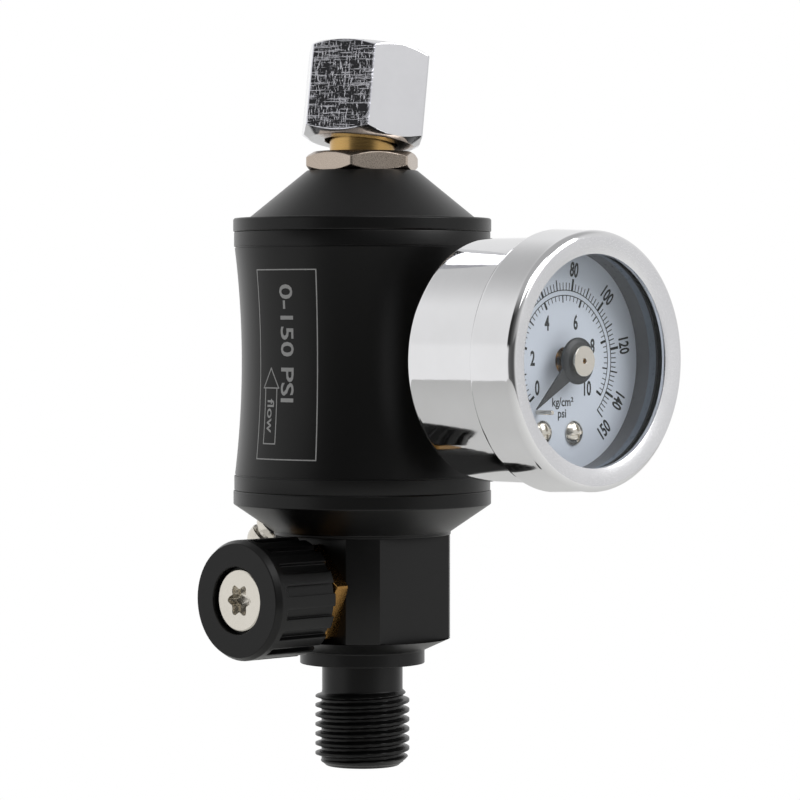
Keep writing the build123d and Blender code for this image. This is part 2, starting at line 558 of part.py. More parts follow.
seat_end_l = seat_face_l - seat_thick
nodes = {
    "valve_block": valve_block(),
    "lower_body_oring": oring(bore_end_r - 0.02, low_groove_z + groove_height / 2),
    "body_shell": body_shell(),
    "upper_body_oring": oring(bore_end_r - 0.02, high_groove_z + groove_height / 2),
    "top_cap": top_cap(),
    "filter_element": tube(filter_r, filter_bore_r, spigot_top, filter_top),
    "filter_cap": rod(filter_r + 0.4, filter_top, bore_step_high - 0.02) - rod(1.0, filter_top, filter_top + 1),
    "filter_spring": filter_spring(),
    "outlet_adapter": outlet_adapter(),
    "adapter_oring": Pos(0, 0, (adapter_groove_z + adapter_groove_top) / 2) * Torus(cap_bore_r - 0.52, 0.48),
    "outlet_tailpiece": outlet_tailpiece(),
    "swivel_nut": swivel_nut(),
    "valve_seat": knob_frame * tube(chamber_r, seat_hole_r, seat_end_l, seat_face_l),
    "spindle": spindle(),
    "spindle_oring": spindle_oring(),
    "bonnet": bonnet(),
    "knob": knob(),
    "knob_screw": knob_screw(),
    "bleed_screw": bleed_screw(),
    "bleed_seal": bleed_seal(),
    "gauge_socket": gauge_socket(),
    "gauge_seal": gauge_frame * tube(6.3, port_r, port_face_l, port_face_l + gauge_seal_thick),
    "gauge_case": gauge_case(),
    "gauge_bezel": gauge_bezel(),
    "gauge_lens": gauge_frame * rod(dial_r, lens_l, lens_end_l),
    "lens_gasket": gauge_frame * tube(dial_r, 14.3, gasket_l, lens_l),
    "dial_spacer": gauge_frame * tube(dial_r, spacer_r, dial_seat_l + dial_thick, gasket_l),
    "gauge_dial": gauge_dial(),
    "dial_screws": dial_screws(),
    "stop_pin": stop_pin(),
    "pointer": pointer(),
    "pointer_hub": pointer_hub(),
    "pinion_arbor": pinion_arbor(),
    "sector_gear": sector_gear(),
    "sector_arbor": sector_arbor(),
    "link_bar": link_bar(),
    "bourdon_tube": bourdon_tube(),
    "bourdon_tip": bourdon_tip(),
    "rear_plate": gauge_frame * movement_plate(plate_rear_l, plate_thick),
    "front_plate": front_plate(),
    "plate_pillars": plate_pillars(),
    "plate_screws": plate_screws(),
    "hairspring": hairspring(),
}

os.makedirs("parts", exist_ok=True)
for name, shape in nodes.items():
    export_step(origin * shape, f"parts/{name}.step")
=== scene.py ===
"""The looks of an in-line air pressure regulator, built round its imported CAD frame.

Each sub-assembly is a class that holds its sizes in millimetres and builds its own pieces; each finish
is a frozen dataclass that builds one procedural material. Heights on the main stack run up from the
inlet stem's lower end, and the side features have their own stations, read from the frame's joints.
"""

import json
import logging
import math
from collections.abc import Callable, Sequence
from dataclasses import dataclass, replace
from enum import Enum

import bmesh
import bpy
from mathutils import Matrix, Vector


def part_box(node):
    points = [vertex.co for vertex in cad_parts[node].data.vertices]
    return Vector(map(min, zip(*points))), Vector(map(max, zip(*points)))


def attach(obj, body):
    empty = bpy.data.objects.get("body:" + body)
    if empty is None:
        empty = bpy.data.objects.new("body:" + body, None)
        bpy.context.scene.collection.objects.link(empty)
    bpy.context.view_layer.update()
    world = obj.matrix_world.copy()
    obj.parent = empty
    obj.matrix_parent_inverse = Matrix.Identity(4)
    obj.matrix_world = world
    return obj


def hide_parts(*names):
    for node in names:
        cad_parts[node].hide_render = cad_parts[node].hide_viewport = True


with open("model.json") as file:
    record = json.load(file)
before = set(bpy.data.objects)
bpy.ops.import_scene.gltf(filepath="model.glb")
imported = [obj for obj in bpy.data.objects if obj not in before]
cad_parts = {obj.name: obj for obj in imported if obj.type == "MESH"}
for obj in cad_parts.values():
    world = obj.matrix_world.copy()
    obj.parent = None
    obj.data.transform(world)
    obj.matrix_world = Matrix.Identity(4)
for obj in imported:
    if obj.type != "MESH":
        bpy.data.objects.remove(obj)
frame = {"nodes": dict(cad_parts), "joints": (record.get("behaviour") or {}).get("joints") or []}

log = logging.getLogger("regulator")

MM = 0.001
TURNS = 192
UV_NAME = "turning"
SMOOTH_BELOW = math.radians(32)
CHAMFER = math.tan(math.radians(30))

Spot = tuple[float, float]
Outline = list[Spot]
Rule = Callable[[float], float]
Ring = list[Vector]
Tree = bpy.types.NodeTree
Socket = bpy.types.NodeSocket
Piece = bpy.types.Object
Mesh = bpy.types.Mesh


# ------------------------------------------------------------------ finishes
def linear(hex_colour: str) -> tuple[float, float, float, float]:
    """Turn an sRGB hex colour into linear RGBA.

    Args:
        hex_colour: Six hex digits, such as "1A1B1D".

    Returns:
        Linear red, green, blue and an alpha of 1.
    """
    values = [int(hex_colour[i:i + 2], 16) / 255 for i in (0, 2, 4)]
    red, green, blue = (v / 12.92 if v <= 0.04045 else ((v + 0.055) / 1.055) ** 2.4 for v in values)
    return red, green, blue, 1.0


def add_node(tree: Tree, kind: str, inputs: dict | None = None, **settings) -> bpy.types.Node:
    """Add one node with its settings and its inputs.

    Args:
        tree: The node tree that gets the node.
        kind: The node's type, such as "ShaderNodeTexNoise".
        inputs: Input names or places, each with a value or with the socket to link from.
        **settings: Attributes of the node itself.

    Returns:
        The new node.
    """
    node = tree.nodes.new(kind)
    for key, value in settings.items():
        setattr(node, key, value)
    for key, value in (inputs or {}).items():
        if isinstance(value, Socket):
            tree.links.new(value, node.inputs[key])
        else:
            node.inputs[key].default_value = value
    return node


# How many times longer a scratch is than it is wide, and the noise levels between which it rises.
SCRATCH_STRETCH = 22.0
SCRATCH_EDGES = (0.575, 0.65)


class Grain(Enum):
    """How a surface was made, which settles the pattern that its roughness and bump follow."""

    TURNED = "fine rings left by the lathe, along the piece's own outline"
    FINE = "an even grain, as on blasted, moulded or cast surfaces"
    SCUFFED = "crossed hairline scratches"


@dataclass(frozen=True)
class Finish:
    """One surface finish: a base colour, its drift, and a pattern of real size.

    Attributes:
        name: The material's name, in a maker's words.
        colour: Base colour, sRGB hex.
        drift: The colour that it drifts to in patches, sRGB hex.
        metallic: 1 for bare or plated metal, 0 for the rest.
        roughness: Mean roughness.
        spread: How far the pattern moves the roughness each way.
        grain: The pattern's kind.
        grain_mm: The pattern's real spacing, millimetres.
        bump_mm: The pattern's depth, millimetres.
        patch_mm: The size of the drifting patches, millimetres.
        ior: Index of refraction, for what isn't metal.
    """

    name: str
    colour: str
    drift: str
    metallic: float
    roughness: float
    spread: float
    grain: Grain
    grain_mm: float
    bump_mm: float
    patch_mm: float = 5.0
    ior: float = 1.5

    def build(self) -> bpy.types.Material:
        """Return the material of this name: the one that is there, or else a new procedural one."""
        made = bpy.data.materials.get(self.name)
        if made:
            return made
        material = bpy.data.materials.new(self.name)
        material.use_nodes = True
        tree = material.node_tree
        tree.nodes.clear()
        shader = add_node(tree, "ShaderNodeBsdfPrincipled", {"Metallic": self.metallic})
        if self.metallic == 0:
            shader.inputs["IOR"].default_value = self.ior
        place = add_node(tree, "ShaderNodeTexCoord").outputs["Object"]
        grain = self.pattern(tree, place)
        patches = add_node(tree, "ShaderNodeTexNoise", {
            "Vector": place, "Scale": 1 / (self.patch_mm * MM), "Detail": 3.0}).outputs[0]
        colour = add_node(tree, "ShaderNodeMix", {
            0: patches, 6: linear(self.colour), 7: linear(self.drift)}, data_type="RGBA")
        rough = add_node(tree, "ShaderNodeMapRange", {
            "Value": grain, "From Min": 0.3, "From Max": 0.7,
            "To Min": self.roughness - self.spread, "To Max": self.roughness + self.spread})
        bump = add_node(tree, "ShaderNodeBump", {
            "Height": grain, "Distance": self.bump_mm * MM, "Strength": 1.0})
        tree.links.new(colour.outputs[2], shader.inputs["Base Color"])
        tree.links.new(rough.outputs[0], shader.inputs["Roughness"])
        tree.links.new(bump.outputs[0], shader.inputs["Normal"])
        add_node(tree, "ShaderNodeOutputMaterial", {"Surface": shader.outputs[0]})
        return material

    def pattern(self, tree: Tree, place: Socket) -> Socket:
        """Build the grain and return its height, from 0 to 1.

        Args:
            tree: The material's node tree.
            place: The Object coordinates.

        Returns:
            The socket that carries the height.
        """
        per_metre = 1 / (self.grain_mm * MM)
        if self.grain is Grain.TURNED:
            along = add_node(tree, "ShaderNodeUVMap", uv_map=UV_NAME).outputs[0]
            run = add_node(tree, "ShaderNodeSeparateXYZ", {0: along}).outputs[1]
            rings = add_node(tree, "ShaderNodeMath", {0: run, 1: 1 / self.grain_mm}, operation="MULTIPLY")
            return add_node(tree, "ShaderNodeTexNoise", {
                "W": rings.outputs[0], "Scale": 1.0, "Detail": 2.0}, noise_dimensions="1D").outputs[0]
        if self.grain is Grain.FINE:
            return add_node(tree, "ShaderNodeTexNoise", {
                "Vector": place, "Scale": per_metre, "Detail": 2.0}).outputs[0]
        scratches = []
        for thin in ((False, False, True), (True, True, False)):
            scale = [per_metre / (1 if across else SCRATCH_STRETCH) for across in thin]
            spread = add_node(tree, "ShaderNodeMapping", {"Vector": place, "Scale": scale}).outputs[0]
            scratches.append(add_node(tree, "ShaderNodeTexNoise", {
                "Vector": spread, "Scale": 1.0, "Detail": 4.0, "Roughness": 0.7}).outputs[0])
        both = add_node(tree, "ShaderNodeMath", dict(enumerate(scratches)), operation="MAXIMUM").outputs[0]
        low, high = SCRATCH_EDGES
        return add_node(tree, "ShaderNodeMapRange", {
            "Value": both, "From Min": low, "From Max": high}).outputs[0]


@dataclass(frozen=True)
class ClearLens:
    """Flat polished window glass: it shows what is behind it, with a faint cool tint and a thin gloss."""

    name: str = "polished_window_glass"
    tint: str = "EDF4F6"
    cover: float = 0.02
    roughness: float = 0.02
    smear_mm: float = 2.5

    def build(self) -> bpy.types.Material:
        """Return the window's material, made on first use."""
        material = bpy.data.materials.get(self.name) or bpy.data.materials.new(self.name)
        material.use_nodes = True
        tree = material.node_tree
        tree.nodes.clear()
        place = add_node(tree, "ShaderNodeTexCoord").outputs["Object"]
        smears = add_node(tree, "ShaderNodeTexNoise", {
            "Vector": place, "Scale": 1 / (self.smear_mm * MM), "Detail": 2.0}).outputs[0]
        rough = add_node(tree, "ShaderNodeMapRange", {
            "Value": smears, "To Min": self.roughness, "To Max": self.roughness * 3})
        shader = add_node(tree, "ShaderNodeBsdfPrincipled", {
            "Base Color": linear(self.tint), "Alpha": self.cover, "IOR": 1.5, "Roughness": rough.outputs[0]})
        add_node(tree, "ShaderNodeOutputMaterial", {"Surface": shader.outputs[0]})
        return material


Coating = Finish | ClearLens

# Aluminium alloy, finely turned, then anodised black. Known fault: the frame already holds a plain material
# of this name and build() returns that, so the colours, values and rings here are not what is shown. A name
# that no slot has would bring them into use; they have never been matched to the object.
BLACK_ANODISED = Finish("black_anodised_aluminium", "0D0D0E", "121214", 0.0, 0.30, 0.05, Grain.TURNED,
                        0.11, 0.0012, ior=1.54)
# Bright chrome over polished brass: mirror-like, with a slow ripple from polishing.
CHROME = Finish("bright_chrome_plate", "DCDCDD", "E4E4E6", 1.0, 0.06, 0.02, Grain.FINE, 2.2, 0.006)
# Chrome over the one flat that was scored before plating: crossed hairlines, drawn about 0.2 mm wide,
# which is coarser than real ones, so that they show.
SCUFFED_CHROME = Finish("chrome_over_scored_flat", "D8D8DE", "DEDEE6", 1.0, 0.10, 0.05, Grain.SCUFFED,
                        0.2, 0.014)
# The same bar where its flats came smooth from the die: a clean, slightly soft mirror.
DRAWN_CHROME = Finish("chrome_over_drawn_hexagon", "D8D8DB", "E0E0E3", 1.0, 0.12, 0.03, Grain.FINE,
                      0.8, 0.003)
# The bezel's flat front: chrome over a softly blasted ring, so it glows instead of mirroring.
SATIN_CHROME = Finish("satin_chrome_plate", "D9D9DC", "E6E6E8", 1.0, 0.24, 0.05, Grain.FINE, 0.12, 0.0015)
# Nickel plate with a warm, dull cast.
SATIN_NICKEL = Finish("satin_nickel_plate", "B4A699", "C2B6AA", 1.0, 0.30, 0.08, Grain.FINE, 0.12, 0.0015)
# Nickel plate as it comes from the barrel on small screws.
BRIGHT_NICKEL = Finish("barrel_nickel_plate", "CFCAC0", "DAD5CC", 1.0, 0.20, 0.06, Grain.FINE, 0.25, 0.0015)
# Free-cutting brass straight from the lathe.
BRASS = Finish("turned_brass", "B8945A", "C8A468", 1.0, 0.24, 0.08, Grain.TURNED, 0.10, 0.0015)
# Brass hexagon bar, drawn; its colour is darker than the turned brass as painted shade, for the dark block
# round the bonnet that it reflects.
DRAWN_BRASS = replace(BRASS, name="drawn_brass_bar", grain=Grain.FINE, grain_mm=0.15, colour="9A7440",
                      drift="886536")
# Phosphor bronze strip: redder than brass, rolled smooth.
BRONZE = replace(DRAWN_BRASS, name="drawn_bronze", colour="A3703F", drift="8C5E33")
# Granules of bronze fused together: a coarse open grain.
SINTER = Finish("sintered_bronze_granules", "7A5D37", "94744A", 1.0, 0.55, 0.15, Grain.FINE, 0.5, 0.08)
# Steel wire as drawn: grey and smooth.
SPRING_WIRE = Finish("drawn_spring_wire", "8C8C8C", "A0A0A0", 1.0, 0.3, 0.08, Grain.FINE, 0.1, 0.001)
# Nitrile rubber from a mould: near black and matt.
NITRILE = Finish("moulded_nitrile_rubber", "141414", "1B1B1B", 0.0, 0.6, 0.1, Grain.FINE, 0.2, 0.002)
# PTFE, skived from a billet: waxy white. It has the same fault, and the floor wears it too.
PTFE = Finish("white_ptfe", "E2E2DD", "D8D8D2", 0.0, 0.45, 0.08, Grain.FINE, 0.3, 0.001)
# Stoved enamel, pale blue-white, nearly matt.
DIAL_ENAMEL = Finish("pale_blue_dial_enamel", "CBD3DF", "D0D8E4", 0.0, 0.55, 0.05, Grain.FINE, 0.35, 0.0006)
# Screen-printed ink: black, a little less matt than the enamel.
DIAL_INK = Finish("black_dial_ink", "0E0F12", "141518", 0.0, 0.5, 0.05, Grain.FINE, 0.2, 0.0004)
# Moulded plastic round the dial: a cool grey lip over a darker, duller wall; the wall's darker grey is
# painted shade, the shadow that falls on it beside the dial.
FRONT_GREY = Finish("blue_grey_moulding", "626C78", "6A7480", 0.0, 0.3, 0.05, Grain.FINE, 0.4, 0.001)
SPACER_SHADE_GREY = Finish("spacer_grey_painted_shade", "55565A", "5E5F63", 0.0, 0.32, 0.06, Grain.FINE, 0.4, 0.001)
# Stoved paint: dark grey with a dull sheen.
POINTER_PAINT = Finish("stoved_pointer_paint", "222428", "292B2F", 0.0, 0.42, 0.06, Grain.FINE, 0.2, 0.001)
# A laser takes the black off the anodising and leaves a pale dry line.
LASER_MARK = Finish("laser_marked_aluminium", "A4A4A4", "8D8D8D", 0.0, 0.6, 0.1, Grain.FINE, 0.08, 0.0005)
WINDOW = ClearLens()


# ------------------------------------------------------------------ stations and mesh work
@dataclass(frozen=True)
class Station:
    """A local frame in millimetres: where a piece's axis starts, the way it runs, and its own x."""

    origin: tuple[float, float, float]
    along: tuple[float, float, float] = (0.0, 0.0, 1.0)
    across: tuple[float, float, float] = (1.0, 0.0, 0.0)

    def matrix(self) -> Matrix:
        """Return the matrix from local millimetres to the row frame's metres."""
        z = Vector(self.along).normalized()
        x = (Vector(self.across) - Vector(self.across).dot(z) * z).normalized()
        turn = Matrix((x, z.cross(x), z)).transposed().to_4x4()
        return Matrix.Translation(Vector(self.origin)) @ turn @ Matrix.Scale(MM, 4)


def joint(name: str) -> dict:
    """Return a joint of the frame by name."""
    return next(j for j in frame["joints"] if j["name"] == name)


MAIN = Station((0.0, 0.0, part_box("valve_block")[0].z))
KNOB = Station(tuple(joint("knob_turn")["pos_m"]), tuple(joint("knob_turn")["axis"]), (0.0, -1.0, 0.0))
GAUGE = Station(tuple(joint("pointer_turn")["pos_m"]), tuple(-a for a in joint("pointer_turn")["axis"]))
NUT = Station(tuple(joint("nut_spin")["pos_m"]), tuple(joint("nut_spin")["axis"]))


def eased(points: Outline, radius: float = 0.15, closed: bool = True, steps: int = 3) -> Outline:
    """Round an outline's corners.

    Args:
        points: Corner points.
        radius: How far back from each corner the rounding starts, at most.
        closed: Whether the last point joins the first; if not, both ends stay.
        steps: Points in each rounding.

    Returns:
        The rounded outline.
    """
    rounded: Outline = []
    for index, here in enumerate(points):
        if not closed and index in (0, len(points) - 1):
            rounded.append(here)
            continue
        corner = Vector(here)
        back, on = Vector(points[index - 1]) - corner, Vector(points[(index + 1) % len(points)]) - corner
        if min(back.length, on.length) < 1e-6 or back.angle(on) > math.radians(172):
            rounded.append(here)
            continue
        start = corner + back.normalized() * min(radius, 0.35 * back.length)
        end = corner + on.normalized() * min(radius, 0.35 * on.length)
        rounded.append(tuple(corner + (start - corner) * 1.3))
        for step in range(steps + 1):
            t = step / steps
            spot = start * (1 - t) ** 2 + corner * 2 * t * (1 - t) + end * t * t
            rounded.append((spot.x, spot.y))
        rounded.append(tuple(corner + (end - corner) * 1.3))
    return rounded


def bow(start: Spot, middle: Spot, end: Spot, steps: int = 12) -> Outline:
    """Return points on the arc through three points, both ends included.

    Args:
        start: The arc's first (radius, height).
        middle: A point that it passes.
        end: Its last point.
        steps: How many chords it has.

    Returns:
        The arc's points.
    """
    (ax, ay), (bx, by), (cx, cy) = start, middle, end
    d = 2 * (ax * (by - cy) + bx * (cy - ay) + cx * (ay - by))
    a2, b2, c2 = ax * ax + ay * ay, bx * bx + by * by, cx * cx + cy * cy
    ux = (a2 * (by - cy) + b2 * (cy - ay) + c2 * (ay - by)) / d
    uy = (a2 * (cx - bx) + b2 * (ax - cx) + c2 * (bx - ax)) / d
    r = math.hypot(ax - ux, ay - uy)
    first, mid, last = (math.atan2(y - uy, x - ux) for x, y in (start, middle, end))
    turn = (last - first) % math.tau
    if (mid - first) % math.tau > turn:
        turn -= math.tau
    return [(ux + r * math.cos(first + turn * n / steps), uy + r * math.sin(first + turn * n / steps))
            for n in range(steps + 1)]


def object_from(name: str, mesh: Mesh, finish: Coating | None) -> Piece:
    """Wrap a mesh in a linked object.

    Args:
        name: The piece's name.
        mesh: Its mesh.
        finish: Its one finish, if it has one yet.

    Returns:
        The piece.
    """
    piece = bpy.data.objects.new(name, mesh)
    bpy.context.scene.collection.objects.link(piece)
    if finish:
        mesh.materials.clear()
        mesh.materials.append(finish.build())
    return piece


def smooth(mesh: Mesh) -> None:
    """Shade a mesh smooth, except at edges sharper than SMOOTH_BELOW."""
    mesh.shade_smooth()
    mesh.set_sharp_from_angle(angle=SMOOTH_BELOW)


def tidy(mesh: Mesh, merge_mm: float = 0.0005) -> None:
    """Merge doubles, drop empty faces, point the faces outwards and smooth what is nearly flat.

    Args:
        mesh: The mesh that is tidied.
        merge_mm: Points closer than this become one.
    """
    work = bmesh.new()
    work.from_mesh(mesh)
    bmesh.ops.remove_doubles(work, verts=work.verts, dist=merge_mm * MM)
    bmesh.ops.dissolve_degenerate(work, edges=work.edges, dist=merge_mm * MM * 0.5)
    bmesh.ops.recalc_face_normals(work, faces=work.faces)
    work.to_mesh(mesh)
    work.free()
    smooth(mesh)


def skin(name: str, rings: Sequence[Sequence[Vector]], loop: bool, station: Station,
         finish: Coating) -> Piece:
    """Join rings of equal count into one closed piece.

    Args:
        name: The piece's name.
        rings: Rings of local points, in millimetres; a ring of one repeated point is a pole.
        loop: Whether the last ring joins the first.
        station: Where the piece stands.
        finish: Its finish.

    Returns:
        The piece, with its place in its mesh and a UV map of turn and outline length in millimetres.
    """
    count = len(rings[0])
    points = [p for ring in rings for p in ring]
    runs = [0.0]
    for before, after in zip(rings, list(rings[1:]) + [rings[0]]):
        runs.append(runs[-1] + (after[0] - before[0]).length)
    faces, uvs = [], []
    for i in range(len(rings) if loop else len(rings) - 1):
        k = (i + 1) % len(rings)
        for j in range(count):
            n = (j + 1) % count
            faces.append((i * count + j, i * count + n, k * count + n, k * count + j))
            uvs += [(j / count, runs[i]), ((j + 1) / count, runs[i]),
                    ((j + 1) / count, runs[i + 1]), (j / count, runs[i + 1])]
    mesh = bpy.data.meshes.new(name)
    mesh.from_pydata(points, [], faces)
    layer = mesh.uv_layers.new(name=UV_NAME)
    for index, uv in enumerate(uvs):
        layer.data[index].uv = uv
    mesh.transform(station.matrix())
    tidy(mesh)
    return object_from(name, mesh, finish)


def polar(radius: float, turn: float, level: float) -> Vector:
    """Return a local point from its radius, its turn in radians and its height."""
    return Vector((radius * math.cos(turn), radius * math.sin(turn), level))


def even_turns(count: int = TURNS) -> list[float]:
    """Return evenly spaced turns round the circle, in radians."""
    return [math.tau * n / count for n in range(count)]


def lathe(name: str, outline: Outline, station: Station, finish: Coating, loop: bool = True,
          turns: int = TURNS) -> Piece:
    """Spin a (radius, height) outline, in millimetres, into a closed piece."""
    return skin(name, round_rings(outline, even_turns(turns)), loop, station, finish)


def hexagon_radius(flats: float, turn: float, corner: float) -> Rule:
    """Return the rule for a hexagon's radius by turn.

    Args:
        flats: Size across flats, millimetres.
        turn: Where a corner points, radians.
        corner: Share of each corner's height that is turned off.

    Returns:
        A function from turn in radians to radius in millimetres.
    """
    limit = flats / 2 + (flats / math.sqrt(3) - flats / 2) * (1 - corner)

    def radius(angle: float) -> float:
        """Return the radius at a turn."""
        off_flat = (angle - turn) % (math.tau / 6) - math.tau / 12
        return min(flats / 2 / math.cos(off_flat), limit)
    return radius


def hexagon_turns(turn: float, per_side: int) -> list[float]:
    """Return turns that are close together near a hexagon's corners.

    Args:
        turn: Where a corner points, radians.
        per_side: How many turns each side has.

    Returns:
        The turns, in radians.
    """
    shares = [n / per_side for n in range(per_side)]
    crowded = [t - math.sin(math.tau * t) / math.tau * 0.9 for t in shares]
    return [turn + (side + t) * math.tau / 6 for side in range(6) for t in crowded]


def hexagon_rings(rule: Rule, turns: Sequence[float], low: float, high: float, low_r: float, high_r: float,
                  ease: float = 0.08) -> list[Ring]:
    """Return the outside rings of a hexagon whose corners are chamfered at both ends.

    Args:
        rule: The hexagon's radius by turn.
        turns: The turns of each ring.
        low: Height of the lower end face.
        high: Height of the upper end face.
        low_r: The lower end face's radius, where its chamfer starts.
        high_r: The same for the upper end.
        ease: How far the edges are rounded off.

    Returns:
        Rings from the lower face's rim to the upper one's.
    """
    def row(end_r: float, edge: float, way: int, share: float, up: float) -> Ring:
        """Return one ring of a chamfer.

        Args:
            end_r: The end face's radius.
            edge: The end face's height.
            way: 1 from the lower face upwards, -1 from the upper face downwards.
            share: How far across the chamfer the ring is.
            up: How far past the chamfer it is.

        Returns:
            The ring's points.
        """
        ring = []
        for angle in turns:
            spare = max(0.0, rule(angle) - end_r)
            rise = spare * CHAMFER * share + up
            ring.append(polar(rule(angle) - spare * (1 - share), angle, edge + way * rise))
        return ring
    steps = [(0.0, ease * 0.2), (0.05, ease * 0.2), (0.12, 0.0), (0.88, 0.0), (0.95, 0.0), (1.0, ease * 0.6),
             (1.0, ease * 1.6), (1.0, ease * 2.2)]
    rings = [[polar(min(rule(a), low_r) - reach, a, low) for a in turns] for reach in (ease * 2, ease)]
    rings += [row(low_r, low, 1, share, up) for share, up in steps]
    rings += [row(high_r, high, -1, share, up) for share, up in reversed(steps)]
    rings += [[polar(min(rule(a), high_r) - reach, a, high) for a in turns] for reach in (ease, ease * 2)]
    return rings


def round_rings(outline: Outline, turns: Sequence[float]) -> list[Ring]:
    """Return plain round rings, one for each (radius, height) of an outline."""
    return [[polar(r, a, h) for a in turns] for r, h in outline]


def plain_mesh(source: Piece) -> Mesh:
    """Return a plain copy of an object's evaluated mesh."""
    bpy.context.view_layer.update()
    return bpy.data.meshes.new_from_object(source.evaluated_get(bpy.context.evaluated_depsgraph_get()))


def cut(piece: Piece, *cutters: Piece) -> Piece:
    """Take cutters out of a piece and leave a plain mesh.

    Args:
        piece: The piece that is cut.
        *cutters: The shapes taken out, which are removed from the scene.

    Returns:
        The same piece.
    """
    for cutter in cutters:
        taken = piece.modifiers.new("cut", "BOOLEAN")
        taken.operation, taken.solver, taken.object = "DIFFERENCE", "EXACT", cutter
    mesh = plain_mesh(piece)
    material = piece.data.materials[0]
    piece.modifiers.clear()
    piece.data = mesh
    mesh.materials.clear()
    mesh.materials.append(material)
    for cutter in cutters:
        bpy.data.objects.remove(cutter)
    tidy(mesh)
    return piece


def settle(piece: Piece, body: str, slot: str, *nodes: str) -> Piece:
    """Put a finished piece in its place in the frame.

    Args:
        piece: The finished piece.
        body: The body that it rides on.
        slot: The material slot that it stands for; not used.
        *nodes: The CAD nodes that it stands for.

    Returns:
        The same piece.
    """
    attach(piece, body)
    if nodes:
        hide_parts(*nodes)
    log.info("%s: %d faces on %s", piece.name, len(piece.data.polygons), body)
    return piece


def refinish(piece: Piece, finish: Finish, station: Station, chosen: Callable[[Vector], bool]) -> None:
    """Give some of a piece's faces a second finish.

    Args:
        piece: The piece.
        finish: The second finish.
        station: The frame that the rule reads, in millimetres.
        chosen: The rule that picks a face by its middle.
    """
    piece.data.materials.append(finish.build())
    local = station.matrix().inverted()
    for face in piece.data.polygons:
        face.material_index = int(chosen(local @ face.center))


@dataclass(frozen=True)
class Thread:
    """A parallel pipe thread with rounded crests and roots.

    Attributes:
        pitch: Crest spacing, millimetres.
        inner: The smaller radius.
        outer: The larger radius.
        phase: Turn of the first crest, radians.
    """

    pitch: float
    inner: float
    outer: float
    phase: float = 0.0

    def radius(self, turn: float, level: float) -> float:
        """Return the right-hand helix's radius.

        Args:
            turn: Turn, radians.
            level: Height, millimetres.

        Returns:
            The surface radius there.
        """
        share = (level / self.pitch - (turn - self.phase) / math.tau) % 1.0
        slope = abs(share - 0.5) * 2
        flank = min(1.0, max(0.0, (slope - 0.2) / 0.6))
        return self.inner + (self.outer - self.inner) * flank * flank * (3 - 2 * flank)


# ------------------------------------------------------------------ main stack
@dataclass
class ValveBlock:
    """The inlet stem, the milled block and the lower housing, turned and milled from one bar."""

    thread: Thread = Thread(1.337, 5.72, 6.58, math.radians(40))
    thread_high: float = 10.6
    rows_per_pitch: int = 20
    flats: float = 20.3
    round_r: float = 12.25
    block_low: float = 16.25
    block_top: float = 32.3
    bleed_spot_r: float = 2.7

    def radius(self, turn: float, level: float) -> float:
        """Return the threaded stem's radius, faded in at its end and out at its neck.

        Args:
            turn: Turn, radians.
            level: Height, millimetres.

        Returns:
            The surface radius there.
        """
        lead = min(1.0, max(0.0, (level - 0.5) / 0.9))
        fade = min(1.0, max(0.0, (self.thread_high - level) / 0.9))
        ridge = self.thread.radius(turn, level) - self.thread.inner
        return self.thread.inner - 0.09 * (1 - fade) + ridge * lead * fade

    def flat_radius(self, turn: float, round_r: float) -> float:
        """Return the block's radius: round, less its four flats."""
        off = (turn + math.tau / 8) % (math.tau / 4) - math.tau / 8
        return min(round_r, self.flats / 2 / math.cos(off))

    def turns(self) -> list[float]:
        """Return turns with one exactly on each edge between a flat and the round."""
        edge = math.acos(self.flats / 2 / self.round_r)
        shares = [n / 26 for n in range(27)]
        quarter = [-edge + 2 * edge * s for s in shares]
        gap = math.tau / 4 - 2 * edge
        quarter += [edge + gap * n / 10 for n in range(1, 10)]
        return [q + side * math.tau / 4 for side in range(4) for q in quarter]

    def build(self) -> Piece:
        """Build the block, with its helical thread and the bleed screw's spot face."""
        turns = self.turns()
        rings = round_rings([(0.0, 16.0), (3.0, 16.0), (3.0, 0.15), (3.15, 0.0), (5.05, 0.0), (5.15, 0.05),
                            (5.2, 0.12), (5.62, 0.48)], turns)
        step = self.thread.pitch / self.rows_per_pitch
        level = 0.5
        while level < self.thread_high:
            rings.append([polar(self.radius(a, level), a, level) for a in turns])
            level += step
        rings += round_rings(eased([
            (5.63, 10.8), (5.63, 14.3), (8.7, 14.3), (8.7, 16.17), (self.round_r, 17.8)], 0.14, closed=False),
            turns)
        for round_r, z in ((8.75, self.block_low), (10.15, 16.87), (11.2, 17.35), (12.05, 17.72),
                           (12.2, 17.82), (self.round_r, 17.95), (self.round_r, self.block_top - 0.12)):
            rings.append([polar(self.flat_radius(a, round_r), a, z) for a in turns])
        rings.append([polar(self.flat_radius(a, self.round_r) - 0.03, a, self.block_top) for a in turns])
        rings += round_rings(eased([
            (12.3, self.block_top), (12.35, 32.36), (12.35, 32.7), (17.9, 36.5), (17.97, 36.6),
            (17.97, 38.35), (17.85, 38.47), (13.98, 38.47), (13.98, 41.5), (12.4, 41.5), (12.4, 43.2),
            (13.98, 43.2), (13.98, 46.0), (13.5, 46.5), (6.9, 46.5), (6.9, 48.0), (0.0, 48.0)],
            0.08, closed=False), turns)
        block = skin("valve_block_turned", rings, False, MAIN, BLACK_ANODISED)
        spot = lathe("spot", [(0, -2.9), (self.bleed_spot_r, -2.9), (self.bleed_spot_r, 12), (0, 12)],
                     bleed_station(), BLACK_ANODISED, loop=False, turns=48)
        return settle(cut(block, spot), "base", "black_anodised_aluminium", "valve_block")


